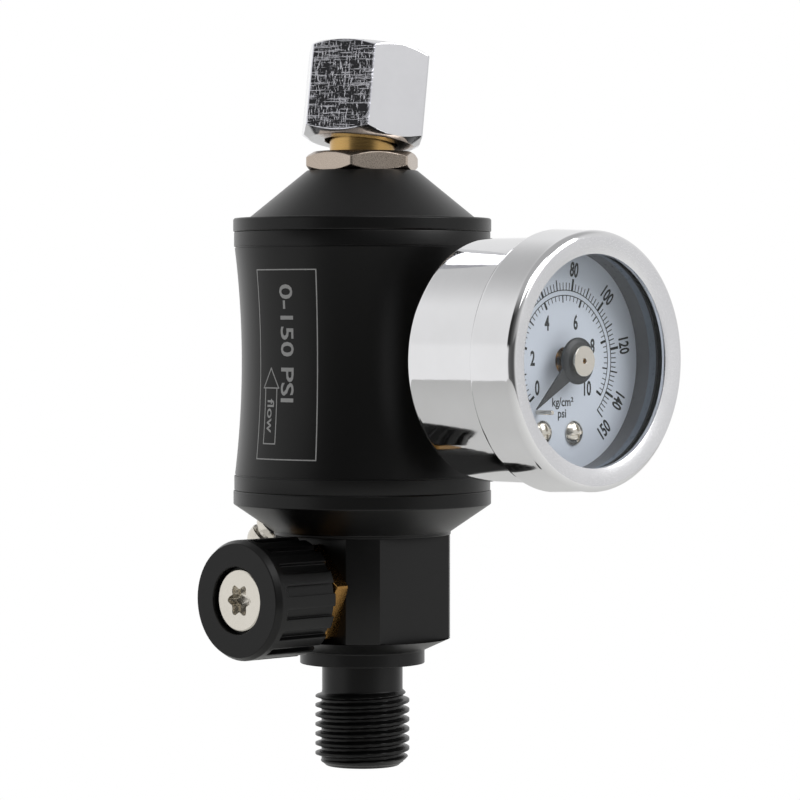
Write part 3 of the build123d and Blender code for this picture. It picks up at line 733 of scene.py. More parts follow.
@dataclass
class WaistedBody:
    """The waisted tube between the two rims, with a fine turned line near each end."""

    low: float = 38.47
    top: float = 74.35
    band_r: float = 17.85
    line: float = 2.03
    line_depth: float = 0.18
    line_height: float = 0.2
    waist: tuple[Spot, ...] = ((17.75, 40.72), (16.8, 56.4), (17.75, 72.1))
    port_face_l: float = 16.3
    port_face_r: float = 6.6

    def surface(self, level: float) -> float:
        """Return the waist's radius, on the arc through its three points.

        Args:
            level: Height, millimetres.

        Returns:
            The surface radius there.
        """
        (end_r, low), (mid_r, middle), (_, _) = self.waist
        sagitta, half = end_r - mid_r, middle - low
        r = (sagitta ** 2 + half ** 2) / (2 * sagitta)
        return mid_r + r - math.sqrt(r * r - (level - middle) ** 2)

    def end(self, edge: float, inward: int) -> Outline:
        """Return one end's outline, from its face past the band and the fine line to the waist.

        Args:
            edge: The end face's height.
            inward: 1 if the waist is above the face, or -1.

        Returns:
            The outline, from the face inwards.
        """
        r, line, depth, height = self.band_r, self.line, self.line_depth, self.line_height
        return [(radius, edge + inward * rise) for radius, rise in (
            (r - 0.15, 0.0), (r - 0.04, 0.04), (r, 0.15), (r, line - 0.03), (r - 0.03, line),
            (r - depth, line + 0.02), (r - depth, line + height), (self.waist[0][0], line + height + 0.04))]

    def build(self) -> Piece:
        """Build the tube, with the faced seat behind the gauge."""
        outline = self.end(self.low, 1) + bow(*self.waist, steps=48)[1:-1] + self.end(self.top, -1)[::-1]
        outline += [(14.0, self.top), (14.0, 66.0), (12.2, 65.1), (12.2, 47.9), (14.0, 47.0),
                    (14.0, self.low)]
        body = lathe("body_waisted_tube", outline, MAIN, BLACK_ANODISED)
        face = lathe("face", [(0, self.port_face_l), (self.port_face_r, self.port_face_l),
                              (self.port_face_r, 21), (0, 21)], GAUGE, BLACK_ANODISED, loop=False, turns=96)
        return settle(cut(body, face), "base", "black_anodised_aluminium", "body_shell")


@dataclass
class OutletEnd:
    """The conical cap, its plated hexagon, the brass tailpiece and the chromed swivel nut."""

    hexagon_flats: float = 14.3
    hexagon_low: float = 82.9
    hexagon_top: float = 85.55
    hexagon_turn: float = math.radians(33.7)
    tail_r: float = 4.53
    nut_flats: float = 16.2
    nut_length: float = 13.1
    nut_turn: float = math.radians(49.0)
    scored_turn: float = math.radians(199.0)
    nut_thread: Thread = Thread(1.337, 5.72, 6.45)

    def cap(self) -> Piece:
        """Build the conical cap."""
        outline = eased([(17.82, 74.35), (17.97, 74.5), (17.97, 76.05), (17.8, 76.25), (15.85, 76.25),
                         (7.7, 82.9), (6.4, 82.9), (6.4, 70.0), (11.5, 70.0), (11.5, 66.5), (13.6, 66.5),
                         (13.98, 66.9), (13.98, 70.8), (12.4, 70.8), (12.4, 72.5), (13.98, 72.5),
                         (13.98, 74.35)], 0.07)
        return settle(lathe("cap_cone", outline, MAIN, BLACK_ANODISED), "base", "black_anodised_aluminium",
                      "top_cap")

    def adapter(self) -> Piece:
        """Build the thin plated hexagon with its shank inside the cap."""
        rule = hexagon_radius(self.hexagon_flats, self.hexagon_turn, 0.06)
        turns = hexagon_turns(self.hexagon_turn, 20)
        rings = hexagon_rings(rule, turns, self.hexagon_low, self.hexagon_top, 7.2, 6.7)
        rings += round_rings([(4.75, self.hexagon_top), (4.6, self.hexagon_top - 0.12), (4.54, 76.0),
                              (6.35, 76.0), (6.35, self.hexagon_low)], turns)
        return settle(skin("adapter_hexagon", rings, True, MAIN, SATIN_NICKEL), "base", "satin_nickel",
                      "outlet_adapter")

    def tailpiece(self) -> Piece:
        """Build the brass tube that the swivel nut turns on."""
        outline = eased([(3.0, 74.5), (5.6, 74.5), (5.6, 76.0), (self.tail_r, 76.0), (self.tail_r, 89.8),
                         (5.45, 89.8), (5.45, 90.5), (3.9, 92.2), (3.0, 92.2)], 0.12)
        return settle(lathe("tailpiece_turned", outline, MAIN, BRASS), "base", "machined_brass",
                      "outlet_tailpiece")

    def nut(self) -> Piece:
        """Build the swivel nut, chamfered at both ends, with its helical thread inside."""
        rule = hexagon_radius(self.nut_flats, self.nut_turn, 0.05)
        turns = hexagon_turns(self.nut_turn, 22)
        rings = hexagon_rings(rule, turns, 0.0, self.nut_length, 7.4, 8.0, 0.1)
        mouth, low, root = self.nut_length, 6.2, self.nut_thread.inner
        rings += round_rings([(6.75, mouth), (6.6, mouth - 0.06), (6.4, mouth - 0.25)], turns)
        step = self.nut_thread.pitch / 12
        level = mouth - 0.7
        while level > low + 0.3:
            fade = min(1.0, (level - low - 0.3) / 0.8)
            rings.append([polar(root + (self.nut_thread.radius(a, level) - root) * fade, a, level)
                          for a in turns])
            level -= step
        rings += round_rings([(root, low), (6.6, 5.7), (6.7, 5.5), (6.7, 2.4), (5.15, 1.55), (5.1, 1.45),
                              (5.1, 0.12), (5.22, 0.0)], turns)
        nut = skin("swivel_nut_chromed", rings, True, NUT, DRAWN_CHROME)
        way = polar(1.0, self.scored_turn, 0.0)
        refinish(nut, SCUFFED_CHROME, NUT, lambda spot: spot.dot(way) > self.nut_flats / 2 - 0.3)
        return settle(nut, "swivel_nut", "chrome_plated_brass", "swivel_nut")

    def build(self) -> None:
        """Build the outlet end's pieces."""
        self.cap()
        self.adapter()
        self.tailpiece()
        self.nut()


# ------------------------------------------------------------------ needle valve
@dataclass
class ValveKnob:
    """The bonnet nut, the fluted knob and the screw that holds it."""

    radius: float = 8.2
    back: float = 13.05
    front: float = 24.2
    flutes: int = 16
    flute_width: float = 1.45
    floor_r: float = 7.45
    flute_end: float = 21.6
    sink_r: float = 4.6
    sink: float = 22.9
    screw_r: float = 4.25
    screw_front: float = 23.65
    lobe_tip: float = 2.2
    lobe_root: float = 1.55
    lobe_depth: float = 1.6
    bonnet_flats: float = 13.0
    bonnet_turn: float = math.radians(12)

    def bonnet(self) -> Piece:
        """Build the brass hexagon behind the knob."""
        turns = hexagon_turns(self.bonnet_turn, 18)
        rule = hexagon_radius(self.bonnet_flats, self.bonnet_turn, 0.06)
        rings = hexagon_rings(rule, turns, 10.15, 12.9, 7.4, 6.3)
        rings += round_rings([(3.2, 12.9), (3.05, 12.75), (3.05, 2.2), (4.9, 2.0), (5.0, 2.2), (5.0, 10.15)],
                             turns)
        # The bonnet's darker brass colour is painted shade from the black parts round it.
        return settle(skin("bonnet_hexagon", rings, True, KNOB, DRAWN_BRASS), "base", "machined_brass",
                      "bonnet")

    def section(self, outer: float, floor: float, level: float) -> Ring:
        """Return one ring of the knob.

        Args:
            outer: Radius of the lands.
            floor: Radius of the flutes' floors.
            level: The ring's height.

        Returns:
            The ring's points.
        """
        ring = []
        floor = min(floor, outer)
        for index in range(self.flutes):
            middle = (index + 0.5) * math.tau / self.flutes
            wall = math.asin(self.flute_width / 2 / outer)
            foot = math.asin(self.flute_width / 2 / max(floor, 0.1))
            land = math.tau / self.flutes / 2
            drop = 0.05 if floor < outer - 0.06 else 0.0
            half = [(land, outer), (wall + 0.35 * (land - wall), outer), (wall + 0.012, outer),
                    (wall + 0.001, outer - drop), (foot, floor + drop), (foot * 0.93, floor)]
            ring += [(middle - a, r) for a, r in half] + [(middle, floor)]
            ring += [(middle + a, r) for a, r in half[:0:-1]]
        return [polar(r, a, level) for a, r in ring]

    def knob(self) -> Piece:
        """Build the fluted knob with its front chamfer and its recess for the screw."""
        outer = eased([(7.0, self.back), (self.radius - 0.35, self.back), (self.radius, self.back + 0.35),
                       (self.radius, self.front - 0.9), (7.7, self.front), (5.2, self.front)],
                      0.12, closed=False)
        levels = sorted({level for _, level in outer} | {self.flute_end, self.flute_end + 0.2,
                                                         self.flute_end + 0.55, self.flute_end + 0.76})
        rings = []
        edge = [(r, h) for r, h in outer if h > self.back + 1e-6 and h < self.front - 1e-6]
        rings.append(self.section(7.0, 7.0, self.back))
        rings.append(self.section(self.radius - 0.5, self.floor_r, self.back))
        for level in levels:
            if not edge[0][1] <= level <= edge[-1][1]:
                continue
            below = max((p for p in edge if p[1] <= level + 1e-9), key=lambda p: p[1])
            above = min((p for p in edge if p[1] >= level - 1e-9), key=lambda p: p[1])
            share = 0 if above[1] == below[1] else (level - below[1]) / (above[1] - below[1])
            r = below[0] + (above[0] - below[0]) * share
            rings.append(self.section(r, self.floor_r + max(0.0, level - self.flute_end), level))
        inner = eased([(7.64, self.front), (self.sink_r, self.front), (self.sink_r, self.sink),
                       (3.1, self.sink), (3.1, 20.6), (2.6, 20.6), (2.6, self.back)], 0.12, closed=False)
        rings += [self.section(r, r, h) for r, h in inner]
        knob = skin("knob_fluted", rings, True, KNOB, BLACK_ANODISED)
        return settle(knob, "knob", "black_anodised_aluminium", "knob")

    def lobed(self, turn: float) -> float:
        """Return the six-lobe recess's radius at a turn."""
        middle, swing = (self.lobe_tip + self.lobe_root) / 2, (self.lobe_tip - self.lobe_root) / 2
        return middle + swing * math.cos(6 * turn)

    def screw(self) -> Piece:
        """Build the wide flat screw with its six-lobe recess."""
        front, rim = self.screw_front, self.screw_r
        turns = even_turns()
        rings = round_rings([(0.0, 14.5), (1.9, 14.5), (2.0, 14.6), (2.0, 20.6), (rim, front - 0.5),
                            (rim, front - 0.22), (rim - 0.05, front - 0.08), (rim - 0.2, front),
                            (rim - 0.3, front), (2.5, front)], turns)
        for spare, depth in ((0.22, 0.0), (0.06, 0.0), (0.0, 0.05), (0.0, 0.12),
                             (0.0, self.lobe_depth - 0.1), (0.0, self.lobe_depth)):
            rings.append([polar(self.lobed(a) + spare, a, front - depth) for a in turns])
        rings += round_rings([(0.0, front - self.lobe_depth - 0.35)], turns)
        return settle(skin("knob_screw_six_lobe", rings, False, KNOB, BRIGHT_NICKEL), "knob", "bright_nickel",
                      "knob_screw")

    def build(self) -> None:
        """Build the knob's pieces."""
        self.bonnet()
        self.knob()
        self.screw()


def bleed_station() -> Station:
    """Return the bleed screw's station, from the middle of its sealing ring."""
    low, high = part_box("bleed_seal")
    azimuth, dip = math.radians(108.6), math.radians(47.0)
    way = Vector((math.cos(azimuth) * math.cos(dip), math.sin(azimuth) * math.cos(dip), -math.sin(dip)))
    return Station(tuple((low + high) / 2 + way * 2.6 * MM), tuple(way))


@dataclass
class BleedScrew:
    """The small nickel screw with a domed head, let into the lower cone."""

    dome: tuple[Spot, ...] = ((2.3, 0.2), (1.748, 1.65), (0.4, 2.4))

    def build(self) -> Piece:
        """Build the screw."""
        shank = [(2.3, -0.5), (2.2, -0.6), (1.75, -0.6), (1.75, -1.4), (2.35, -1.4), (2.4, -1.5),
                 (2.4, -2.3), (1.5, -2.3), (1.5, -7.5), (0.0, -7.5)]
        outline = [(0.0, 2.4)] + bow(*self.dome, steps=10)[::-1] + shank
        return settle(lathe("bleed_screw_domed", outline, bleed_station(), BRIGHT_NICKEL, False, 96), "base",
                      "bright_nickel", "bleed_screw")


# ------------------------------------------------------------------ gauge
@dataclass
class GaugeShell:
    """The gauge's chromed case and bezel, its window, and the seat round its dial."""

    case_l: float = 23.4
    case_r: float = 16.4
    seam_l: float = 36.6
    rear_r: float = 17.45
    nose_r: float = 17.2
    rim_r: float = 16.3
    front_l: float = 43.8
    window_r: float = 14.06
    window_l: float = 43.2
    dial_r: float = 15.2
    spacer_r: float = 14.6
    shade_l: float = 39.9

    def case(self) -> Piece:
        """Build the drawn case."""
        inner = self.case_r - 1.15
        outline = eased([(4.4, self.case_l), (15.2, self.case_l), (self.case_r, self.case_l + 1.2),
                         (self.case_r, self.seam_l - 0.12), (self.case_r - 0.12, self.seam_l),
                         (inner, self.seam_l), (inner, 37.0), (13.6, 37.0), (13.6, self.seam_l),
                         (14.85, 35.1), (14.85, 24.6), (4.4, 24.6)], 0.5)
        return settle(lathe("gauge_case_chromed", outline, GAUGE, CHROME), "base", "chrome_plated_brass",
                      "gauge_case")

    def bezel(self) -> Piece:
        """Build the polished collar with its softer front ring."""
        seam, rear = self.seam_l, self.rear_r
        flank = [(rear, seam + 0.25), (rear - 0.01, seam + 0.5), (self.nose_r + 0.01, 42.4)]
        nose = bow((self.nose_r, 42.7), (16.94, 43.46), (self.rim_r, self.front_l), 16)
        turn_in = [(self.window_r + 0.15, self.window_l), (self.window_r + 0.04, self.window_l - 0.04),
                   (self.window_r, self.window_l - 0.15), (self.window_r, 42.6)]
        foot = [(15.25, 42.6), (15.25, seam), (rear - 0.25, seam), (rear - 0.13, seam + 0.03),
                (rear - 0.03, seam + 0.13)]
        bezel = lathe("gauge_bezel_polished", flank + nose + turn_in + foot, GAUGE, CHROME)
        refinish(bezel, SATIN_CHROME, GAUGE,
                 lambda spot: spot.z > self.window_l - 0.1 and spot.xy.length < self.rim_r + 0.1)
        return settle(bezel, "base", "chrome_plated_brass", "gauge_bezel")

    def inside(self) -> None:
        """Build the window, its gasket and the grey spacer round the dial."""
        lens = lathe("gauge_lens_clear", eased([(0.0, 41.6), (self.dial_r, 41.6), (self.dial_r, 42.6),
                                                (0.0, 42.6)], 0.05, closed=False), GAUGE, WINDOW, False)
        settle(lens, "base", "lens_glass", "gauge_lens")
        spacer = lathe("dial_spacer_ring", eased([
            (self.dial_r, 37.6), (self.dial_r, self.shade_l), (self.dial_r, 41.3), (self.spacer_r, 41.3),
            (self.spacer_r, self.shade_l), (self.spacer_r, 37.6)], 0.06), GAUGE, SPACER_SHADE_GREY)
        # The wall below shade_l keeps the darker grey as painted shade beside the dial; the lip above it gets
        # the blue-grey.
        refinish(spacer, FRONT_GREY, GAUGE, lambda spot: spot.z > self.shade_l)
        settle(spacer, "base", "spacer_grey", "dial_spacer")
        gasket = lathe("lens_gasket_ring", eased([
            (self.dial_r, 41.3), (self.dial_r, 41.6), (14.3, 41.6), (14.3, 41.3)], 0.05), GAUGE, NITRILE)
        settle(gasket, "base", "nitrile_rubber", "lens_gasket")

    def build(self) -> None:
        """Build the shell's pieces."""
        self.case()
        self.bezel()
        self.inside()


def tick_tree(finish: Finish) -> Tree:
    """Build the node tree that lays bars round an arc.

    Args:
        finish: The bars' finish.

    Returns:
        A Geometry Nodes tree whose inputs are the bars' count, first turn, step and four sizes.
    """
    tree = bpy.data.node_groups.new("bars_round_an_arc", "GeometryNodeTree")
    tree.interface.new_socket("Geometry", in_out="INPUT", socket_type="NodeSocketGeometry")
    tree.interface.new_socket("Count", in_out="INPUT", socket_type="NodeSocketInt")
    for name in ("First", "Step", "Inner", "Outer", "Width", "Low", "High"):
        tree.interface.new_socket(name, in_out="INPUT", socket_type="NodeSocketFloat")
    tree.interface.new_socket("Geometry", in_out="OUTPUT", socket_type="NodeSocketGeometry")
    given = add_node(tree, "NodeGroupInput").outputs

    def sums(operation: str, a: Socket, b: Socket | float) -> Socket:
        """Return the result of one sum."""
        return add_node(tree, "ShaderNodeMath", {0: a, 1: b}, operation=operation).outputs[0]
    length = sums("SUBTRACT", given["Outer"], given["Inner"])
    depth = sums("SUBTRACT", given["High"], given["Low"])
    size = add_node(tree, "ShaderNodeCombineXYZ", {0: length, 1: given["Width"], 2: depth}).outputs[0]
    middle = sums("MULTIPLY", sums("ADD", given["Outer"], given["Inner"]), 0.5)
    level = sums("MULTIPLY", sums("ADD", given["High"], given["Low"]), 0.5)
    bar = add_node(tree, "GeometryNodeMeshCube", {"Size": size}).outputs[0]
    spot = add_node(tree, "ShaderNodeCombineXYZ", {0: middle, 2: level}).outputs[0]
    placed = add_node(tree, "GeometryNodeTransform", {"Geometry": bar, "Translation": spot}).outputs[0]
    points = add_node(tree, "GeometryNodePoints", {"Count": given["Count"]}).outputs[0]
    index = add_node(tree, "GeometryNodeInputIndex").outputs[0]
    turn = sums("ADD", given["First"], sums("MULTIPLY", index, given["Step"]))
    way = add_node(tree, "ShaderNodeCombineXYZ", {2: turn}).outputs[0]
    laid = add_node(tree, "GeometryNodeInstanceOnPoints", {
        "Points": points, "Instance": placed, "Rotation": way}).outputs[0]
    real = add_node(tree, "GeometryNodeRealizeInstances", {0: laid}).outputs[0]
    inked = add_node(tree, "GeometryNodeSetMaterial", {
        "Geometry": real, "Material": finish.build()}).outputs[0]
    add_node(tree, "NodeGroupOutput", {"Geometry": inked})
    return tree


# A capital's height as a share of the built-in font's size.
CAPITAL_SHARE = 0.69


def lettering(text: str, cap: float, stretch: float, low: float, high: float, bold: float) -> Mesh:
    """Return raised letters as a mesh in local millimetres, centred on its own middle.

    Args:
        text: The characters.
        cap: Capital height, millimetres.
        stretch: Width factor.
        low: Height of the letters' backs.
        high: Height of the letters' faces.
        bold: How far the strokes are thickened.

    Returns:
        The letters' mesh.
    """
    curve = bpy.data.curves.new("letters", "FONT")
    curve.body = text
    curve.size, curve.offset = 1.0, bold
    curve.extrude, curve.resolution_u = 0.5, 3
    holder = bpy.data.objects.new("letters", curve)
    bpy.context.scene.collection.objects.link(holder)
    mesh = plain_mesh(holder)
    bpy.data.objects.remove(holder)
    middle = [(min(v.co[i] for v in mesh.vertices) + max(v.co[i] for v in mesh.vertices)) / 2 for i in (0, 1)]
    scale = cap / CAPITAL_SHARE
    for vertex in mesh.vertices:
        x, y, z = vertex.co
        vertex.co = ((x - middle[0]) * scale * stretch, (y - middle[1]) * scale, high if z > 0 else low)
    return mesh


def fine(mesh: Mesh, longest: float) -> Mesh:
    """Split a mesh's faces until its edges are short.

    Args:
        mesh: The mesh.
        longest: The length that edges are split down to.

    Returns:
        The same mesh.
    """
    work = bmesh.new()
    work.from_mesh(mesh)
    bmesh.ops.triangulate(work, faces=work.faces)
    for _ in range(5):
        long = [e for e in work.edges if e.calc_length() > longest]
        if not long:
            break
        bmesh.ops.subdivide_edges(work, edges=long, cuts=1)
        bmesh.ops.triangulate(work, faces=[f for f in work.faces if len(f.verts) > 3])
    work.to_mesh(mesh)
    work.free()
    return mesh


def gather(name: str, meshes: Sequence[Mesh], finish: Finish) -> Piece:
    """Join meshes into one piece with one finish.

    Args:
        name: The piece's name.
        meshes: The meshes.
        finish: The finish.

    Returns:
        The piece.
    """
    joined = bmesh.new()
    for mesh in meshes:
        joined.from_mesh(mesh)
    bmesh.ops.recalc_face_normals(joined, faces=joined.faces)
    for face in joined.faces:
        face.material_index = 0
    whole = bpy.data.meshes.new(name)
    joined.to_mesh(whole)
    joined.free()
    return object_from(name, whole, finish)


def bar_mesh(sections: Sequence[Sequence[Vector]]) -> Mesh:
    """Join four-cornered sections into a closed bar.

    Args:
        sections: The sections in order, four corners each.

    Returns:
        The bar's mesh.
    """
    last = 4 * (len(sections) - 1)
    faces = [(i + k, i + 4 + k, i + 4 + (k + 1) % 4, i + (k + 1) % 4)
             for i in range(0, last, 4) for k in range(4)]
    faces += [(3, 2, 1, 0), tuple(last + k for k in range(4))]
    mesh = bpy.data.meshes.new("bar")
    mesh.from_pydata([corner for section in sections for corner in section], [], faces)
    return mesh


@dataclass(frozen=True)
class Ticks:
    """One family of bars on the dial: how many, from which turn, how far apart, and their size."""

    count: int
    first: float
    step: float
    inner: float
    outer: float
    width: float


@dataclass
class GaugeDial:
    """The enamelled dial with its two printed scales, screws and stop pin."""

    face_l: float = 37.6
    ink_low: float = 37.58
    ink_high: float = 37.62
    families: tuple[Ticks, ...] = (
        Ticks(76, -135.0, 3.6, 9.35, 10.35, 0.13), Ticks(16, -135.0, 18.0, 9.35, 10.75, 0.2),
        Ticks(8, -135.0, 36.0, 9.35, 10.95, 0.36),
        Ticks(51, -127.5, 5.0, 7.95, 8.65, 0.12), Ticks(11, -127.5, 25.0, 7.7, 8.65, 0.2),
        Ticks(6, -127.5, 50.0, 7.6, 8.65, 0.34))
    arcs: tuple[tuple[float, float, float, float], ...] = (
        (9.28, 9.4, -135.2, 135.2), (8.6, 8.72, -127.7, 122.7))
    outer_words: tuple[tuple[str, float, float], ...] = (
        ("20", -99.0, 0.0), ("40", -63.0, 0.0), ("60", -27.0, 0.0), ("80", 9.0, 0.0), ("100", 45.0, 0.0),
        ("120", 81.0, 0.0), ("140", 117.0, 0.0), ("150", 139.0, 180.0))
    outer_r: float = 12.2
    figure_cap: float = 1.85
    unit_cap: float = 1.15
    inner_words: tuple[tuple[str, float, float], ...] = (
        ("0", -5.4, -3.5), ("2", -6.3, 0.4), ("4", -3.5, 5.0), ("6", 2.2, 5.1), ("8", 5.6, 1.9),
        ("10", 4.6, -3.7))
    units: tuple[tuple[str, float, float], ...] = (("kg/cm\u00b2", -0.35, -5.6), ("psi", -0.5, -7.15))
    screw_spots: tuple[Spot, ...] = ((-4.4, -9.45), (1.8, -9.6))
    pin_spot: Spot = (-5.45, -6.7)

    def disc(self) -> Piece:
        """Build the dial's plate."""
        outline = eased([(1.8, 37.0), (15.2, 37.0), (15.2, self.face_l), (1.8, self.face_l)], 0.06)
        return settle(lathe("dial_plate", outline, GAUGE, DIAL_ENAMEL), "base", "dial_enamel", "gauge_dial")

    def tick_mesh(self, family: Ticks, tree: Tree) -> Mesh:
        """Lay one family of bars.

        Args:
            family: The bars' count and sizes.
            tree: The Geometry Nodes tree that lays them.

        Returns:
            A plain mesh in local millimetres.
        """
        holder = bpy.data.objects.new("ticks", bpy.data.meshes.new("ticks"))
        bpy.context.scene.collection.objects.link(holder)
        laid = holder.modifiers.new("ticks", "NODES")
        laid.node_group = tree
        values = {"Count": family.count, "First": math.radians(90 - family.first),
                  "Step": -math.radians(family.step), "Inner": family.inner, "Outer": family.outer,
                  "Width": family.width, "Low": self.ink_low, "High": self.ink_high}
        for item in tree.interface.items_tree:
            if item.name in values:
                laid[item.identifier] = values[item.name]
        mesh = plain_mesh(holder)
        bpy.data.objects.remove(holder)
        return mesh

    def arc_mesh(self, inner: float, outer: float, first: float, last: float, steps: int = 150) -> Mesh:
        """Return one thin printed arc.

        Args:
            inner: Its inner radius.
            outer: Its outer radius.
            first: The clock angle where it starts, degrees.
            last: The clock angle where it ends.
            steps: How many chords it has.

        Returns:
            The arc's mesh in local millimetres.
        """
        low, high = self.ink_low, self.ink_high
        turns = [math.radians(90 - (first + (last - first) * n / steps)) for n in range(steps + 1)]
        corners = ((inner, low), (outer, low), (outer, high), (inner, high))
        return bar_mesh([[polar(r, turn, h) for r, h in corners] for turn in turns])

    def printing(self) -> Piece:
        """Build both scales, their numerals and the units as one inked piece."""
        tree = tick_tree(DIAL_INK)
        low, high = self.ink_low, self.ink_high
        meshes = [self.tick_mesh(family, tree) for family in self.families]
        meshes += [self.arc_mesh(*arc) for arc in self.arcs]
        for word, clock, flip in self.outer_words:
            mesh = lettering(word, self.figure_cap, 0.62, low, high, 0.028)
            spot = polar(self.outer_r, math.radians(90 - clock), 0)
            mesh.transform(Matrix.Translation(spot) @ Matrix.Rotation(math.radians(flip - clock), 4, "Z"))
            meshes.append(mesh)
        figures = [(word, x, y, self.figure_cap, 0.66, 0.028) for word, x, y in self.inner_words]
        units = [(word, x, y, self.unit_cap, 0.95, 0.015) for word, x, y in self.units]
        for word, x, y, cap, stretch, bold in figures + units:
            mesh = lettering(word, cap, stretch, low, high, bold)
            mesh.transform(Matrix.Translation((x, y, 0)))
            meshes.append(mesh)
        piece = gather("dial_print", meshes, DIAL_INK)
        piece.data.transform(GAUGE.matrix())
        return settle(piece, "base", "dial_enamel")

    def spot_station(self, x: float, y: float) -> Station:
        """Return the station of a small part that stands on the dial."""
        return replace(GAUGE, origin=tuple(GAUGE.matrix() @ Vector((x, y, 0))))

    def screws(self) -> Piece:
        """Build the two domed screws, each with a crossed slot."""
        dome = bow((1.65, self.face_l + 0.2), (1.05, self.face_l + 0.7), (0.3, self.face_l + 0.9), 8)
        outline = [(0.0, 36.1), (0.6, 36.1), (0.6, self.face_l), (1.6, self.face_l),
                   (1.65, self.face_l + 0.04)] + dome + [(0.0, self.face_l + 0.9)]
        meshes = []
        for x, y in self.screw_spots:
            here = self.spot_station(x, y)
            screw = lathe("screw", outline, here, BRIGHT_NICKEL, False, 48)
            slots = []
            for turn in (0, 90):
                bpy.ops.mesh.primitive_cube_add(size=1)
                slot = bpy.context.object
                slot.data.transform(here.matrix() @ Matrix.Translation((0, 0, self.face_l + 1.05))
                                    @ Matrix.Rotation(math.radians(turn + 10), 4, "Z")
                                    @ Matrix.Diagonal((2.3, 0.42, 1.0, 1)))
                slots.append(slot)
            cut(screw, *slots)
            meshes.append(screw.data)
            bpy.data.objects.remove(screw)
        piece = gather("dial_screws_domed", meshes, BRIGHT_NICKEL)
        smooth(piece.data)
        return settle(piece, "base", "bright_nickel", "dial_screws")

    def pin(self) -> Piece:
        """Build the stop pin that the pointer rests on."""
        outline = eased([(0.0, self.face_l), (0.3, self.face_l), (0.3, 40.4), (0.0, 40.4)], 0.1, closed=False)
        pin = lathe("stop_pin_turned", outline, self.spot_station(*self.pin_spot), BRIGHT_NICKEL, False, 32)
        return settle(pin, "base", "bright_nickel", "stop_pin")

    def build(self) -> None:
        """Build the dial's pieces."""
        self.disc()
        self.printing()
        self.screws()
        self.pin()


@dataclass
class Pointer:
    """The painted pointer with its boss and nickel cap."""

    level: float = 39.8
    thick: float = 0.3
    reach: float = 10.3
    root: float = 1.5
    tip: float = 0.16
    rest: float = math.radians(217.5)
    boss_r: float = 3.1
    boss_low: float = 39.4
    boss_top: float = 40.5
    cap_r: float = 2.05
    cap_top: float = 41.2

    def blade(self) -> Mesh:
        """Return the tapered blade as a closed mesh in metres."""
        flat = [(0.0, -self.root), (self.reach - 1.0, -self.tip), (self.reach, 0.0),
                (self.reach - 1.0, self.tip), (0.0, self.root)]
        count = len(flat)
        points = [(x, y, z) for z in (self.level, self.level + self.thick) for x, y in flat]
        faces = [tuple(range(count))[::-1], tuple(range(count, 2 * count))]
        faces += [(n, (n + 1) % count, count + (n + 1) % count, count + n) for n in range(count)]
        mesh = bpy.data.meshes.new("blade")
        mesh.from_pydata(points, [], faces)
        mesh.transform(GAUGE.matrix() @ Matrix.Rotation(self.rest, 4, "Z"))
        return mesh

    def build(self) -> None:
        """Build the pointer and its cap."""
        boss = lathe("boss", eased([(0.4, self.boss_low), (self.boss_r - 0.5, self.boss_low),
                                    (self.boss_r, self.level - 0.05), (self.boss_r, self.level + 0.35),
                                    (self.boss_r - 0.55, self.boss_top), (0.4, self.boss_top)], 0.15),
                     GAUGE, POINTER_PAINT, turns=96)
        piece = gather("pointer_painted", [boss.data, self.blade()], POINTER_PAINT)
        bpy.data.objects.remove(boss)
        smooth(piece.data)
        settle(piece, "pointer", "pointer_paint", "pointer")
        cap = lathe("pointer_cap", eased([(0.35, self.boss_top), (self.cap_r, self.boss_top),
                                          (self.cap_r, self.cap_top), (0.35, self.cap_top)], 0.15),
                    GAUGE, BRIGHT_NICKEL, turns=96)
        settle(cap, "pointer", "bright_nickel", "pointer_hub")


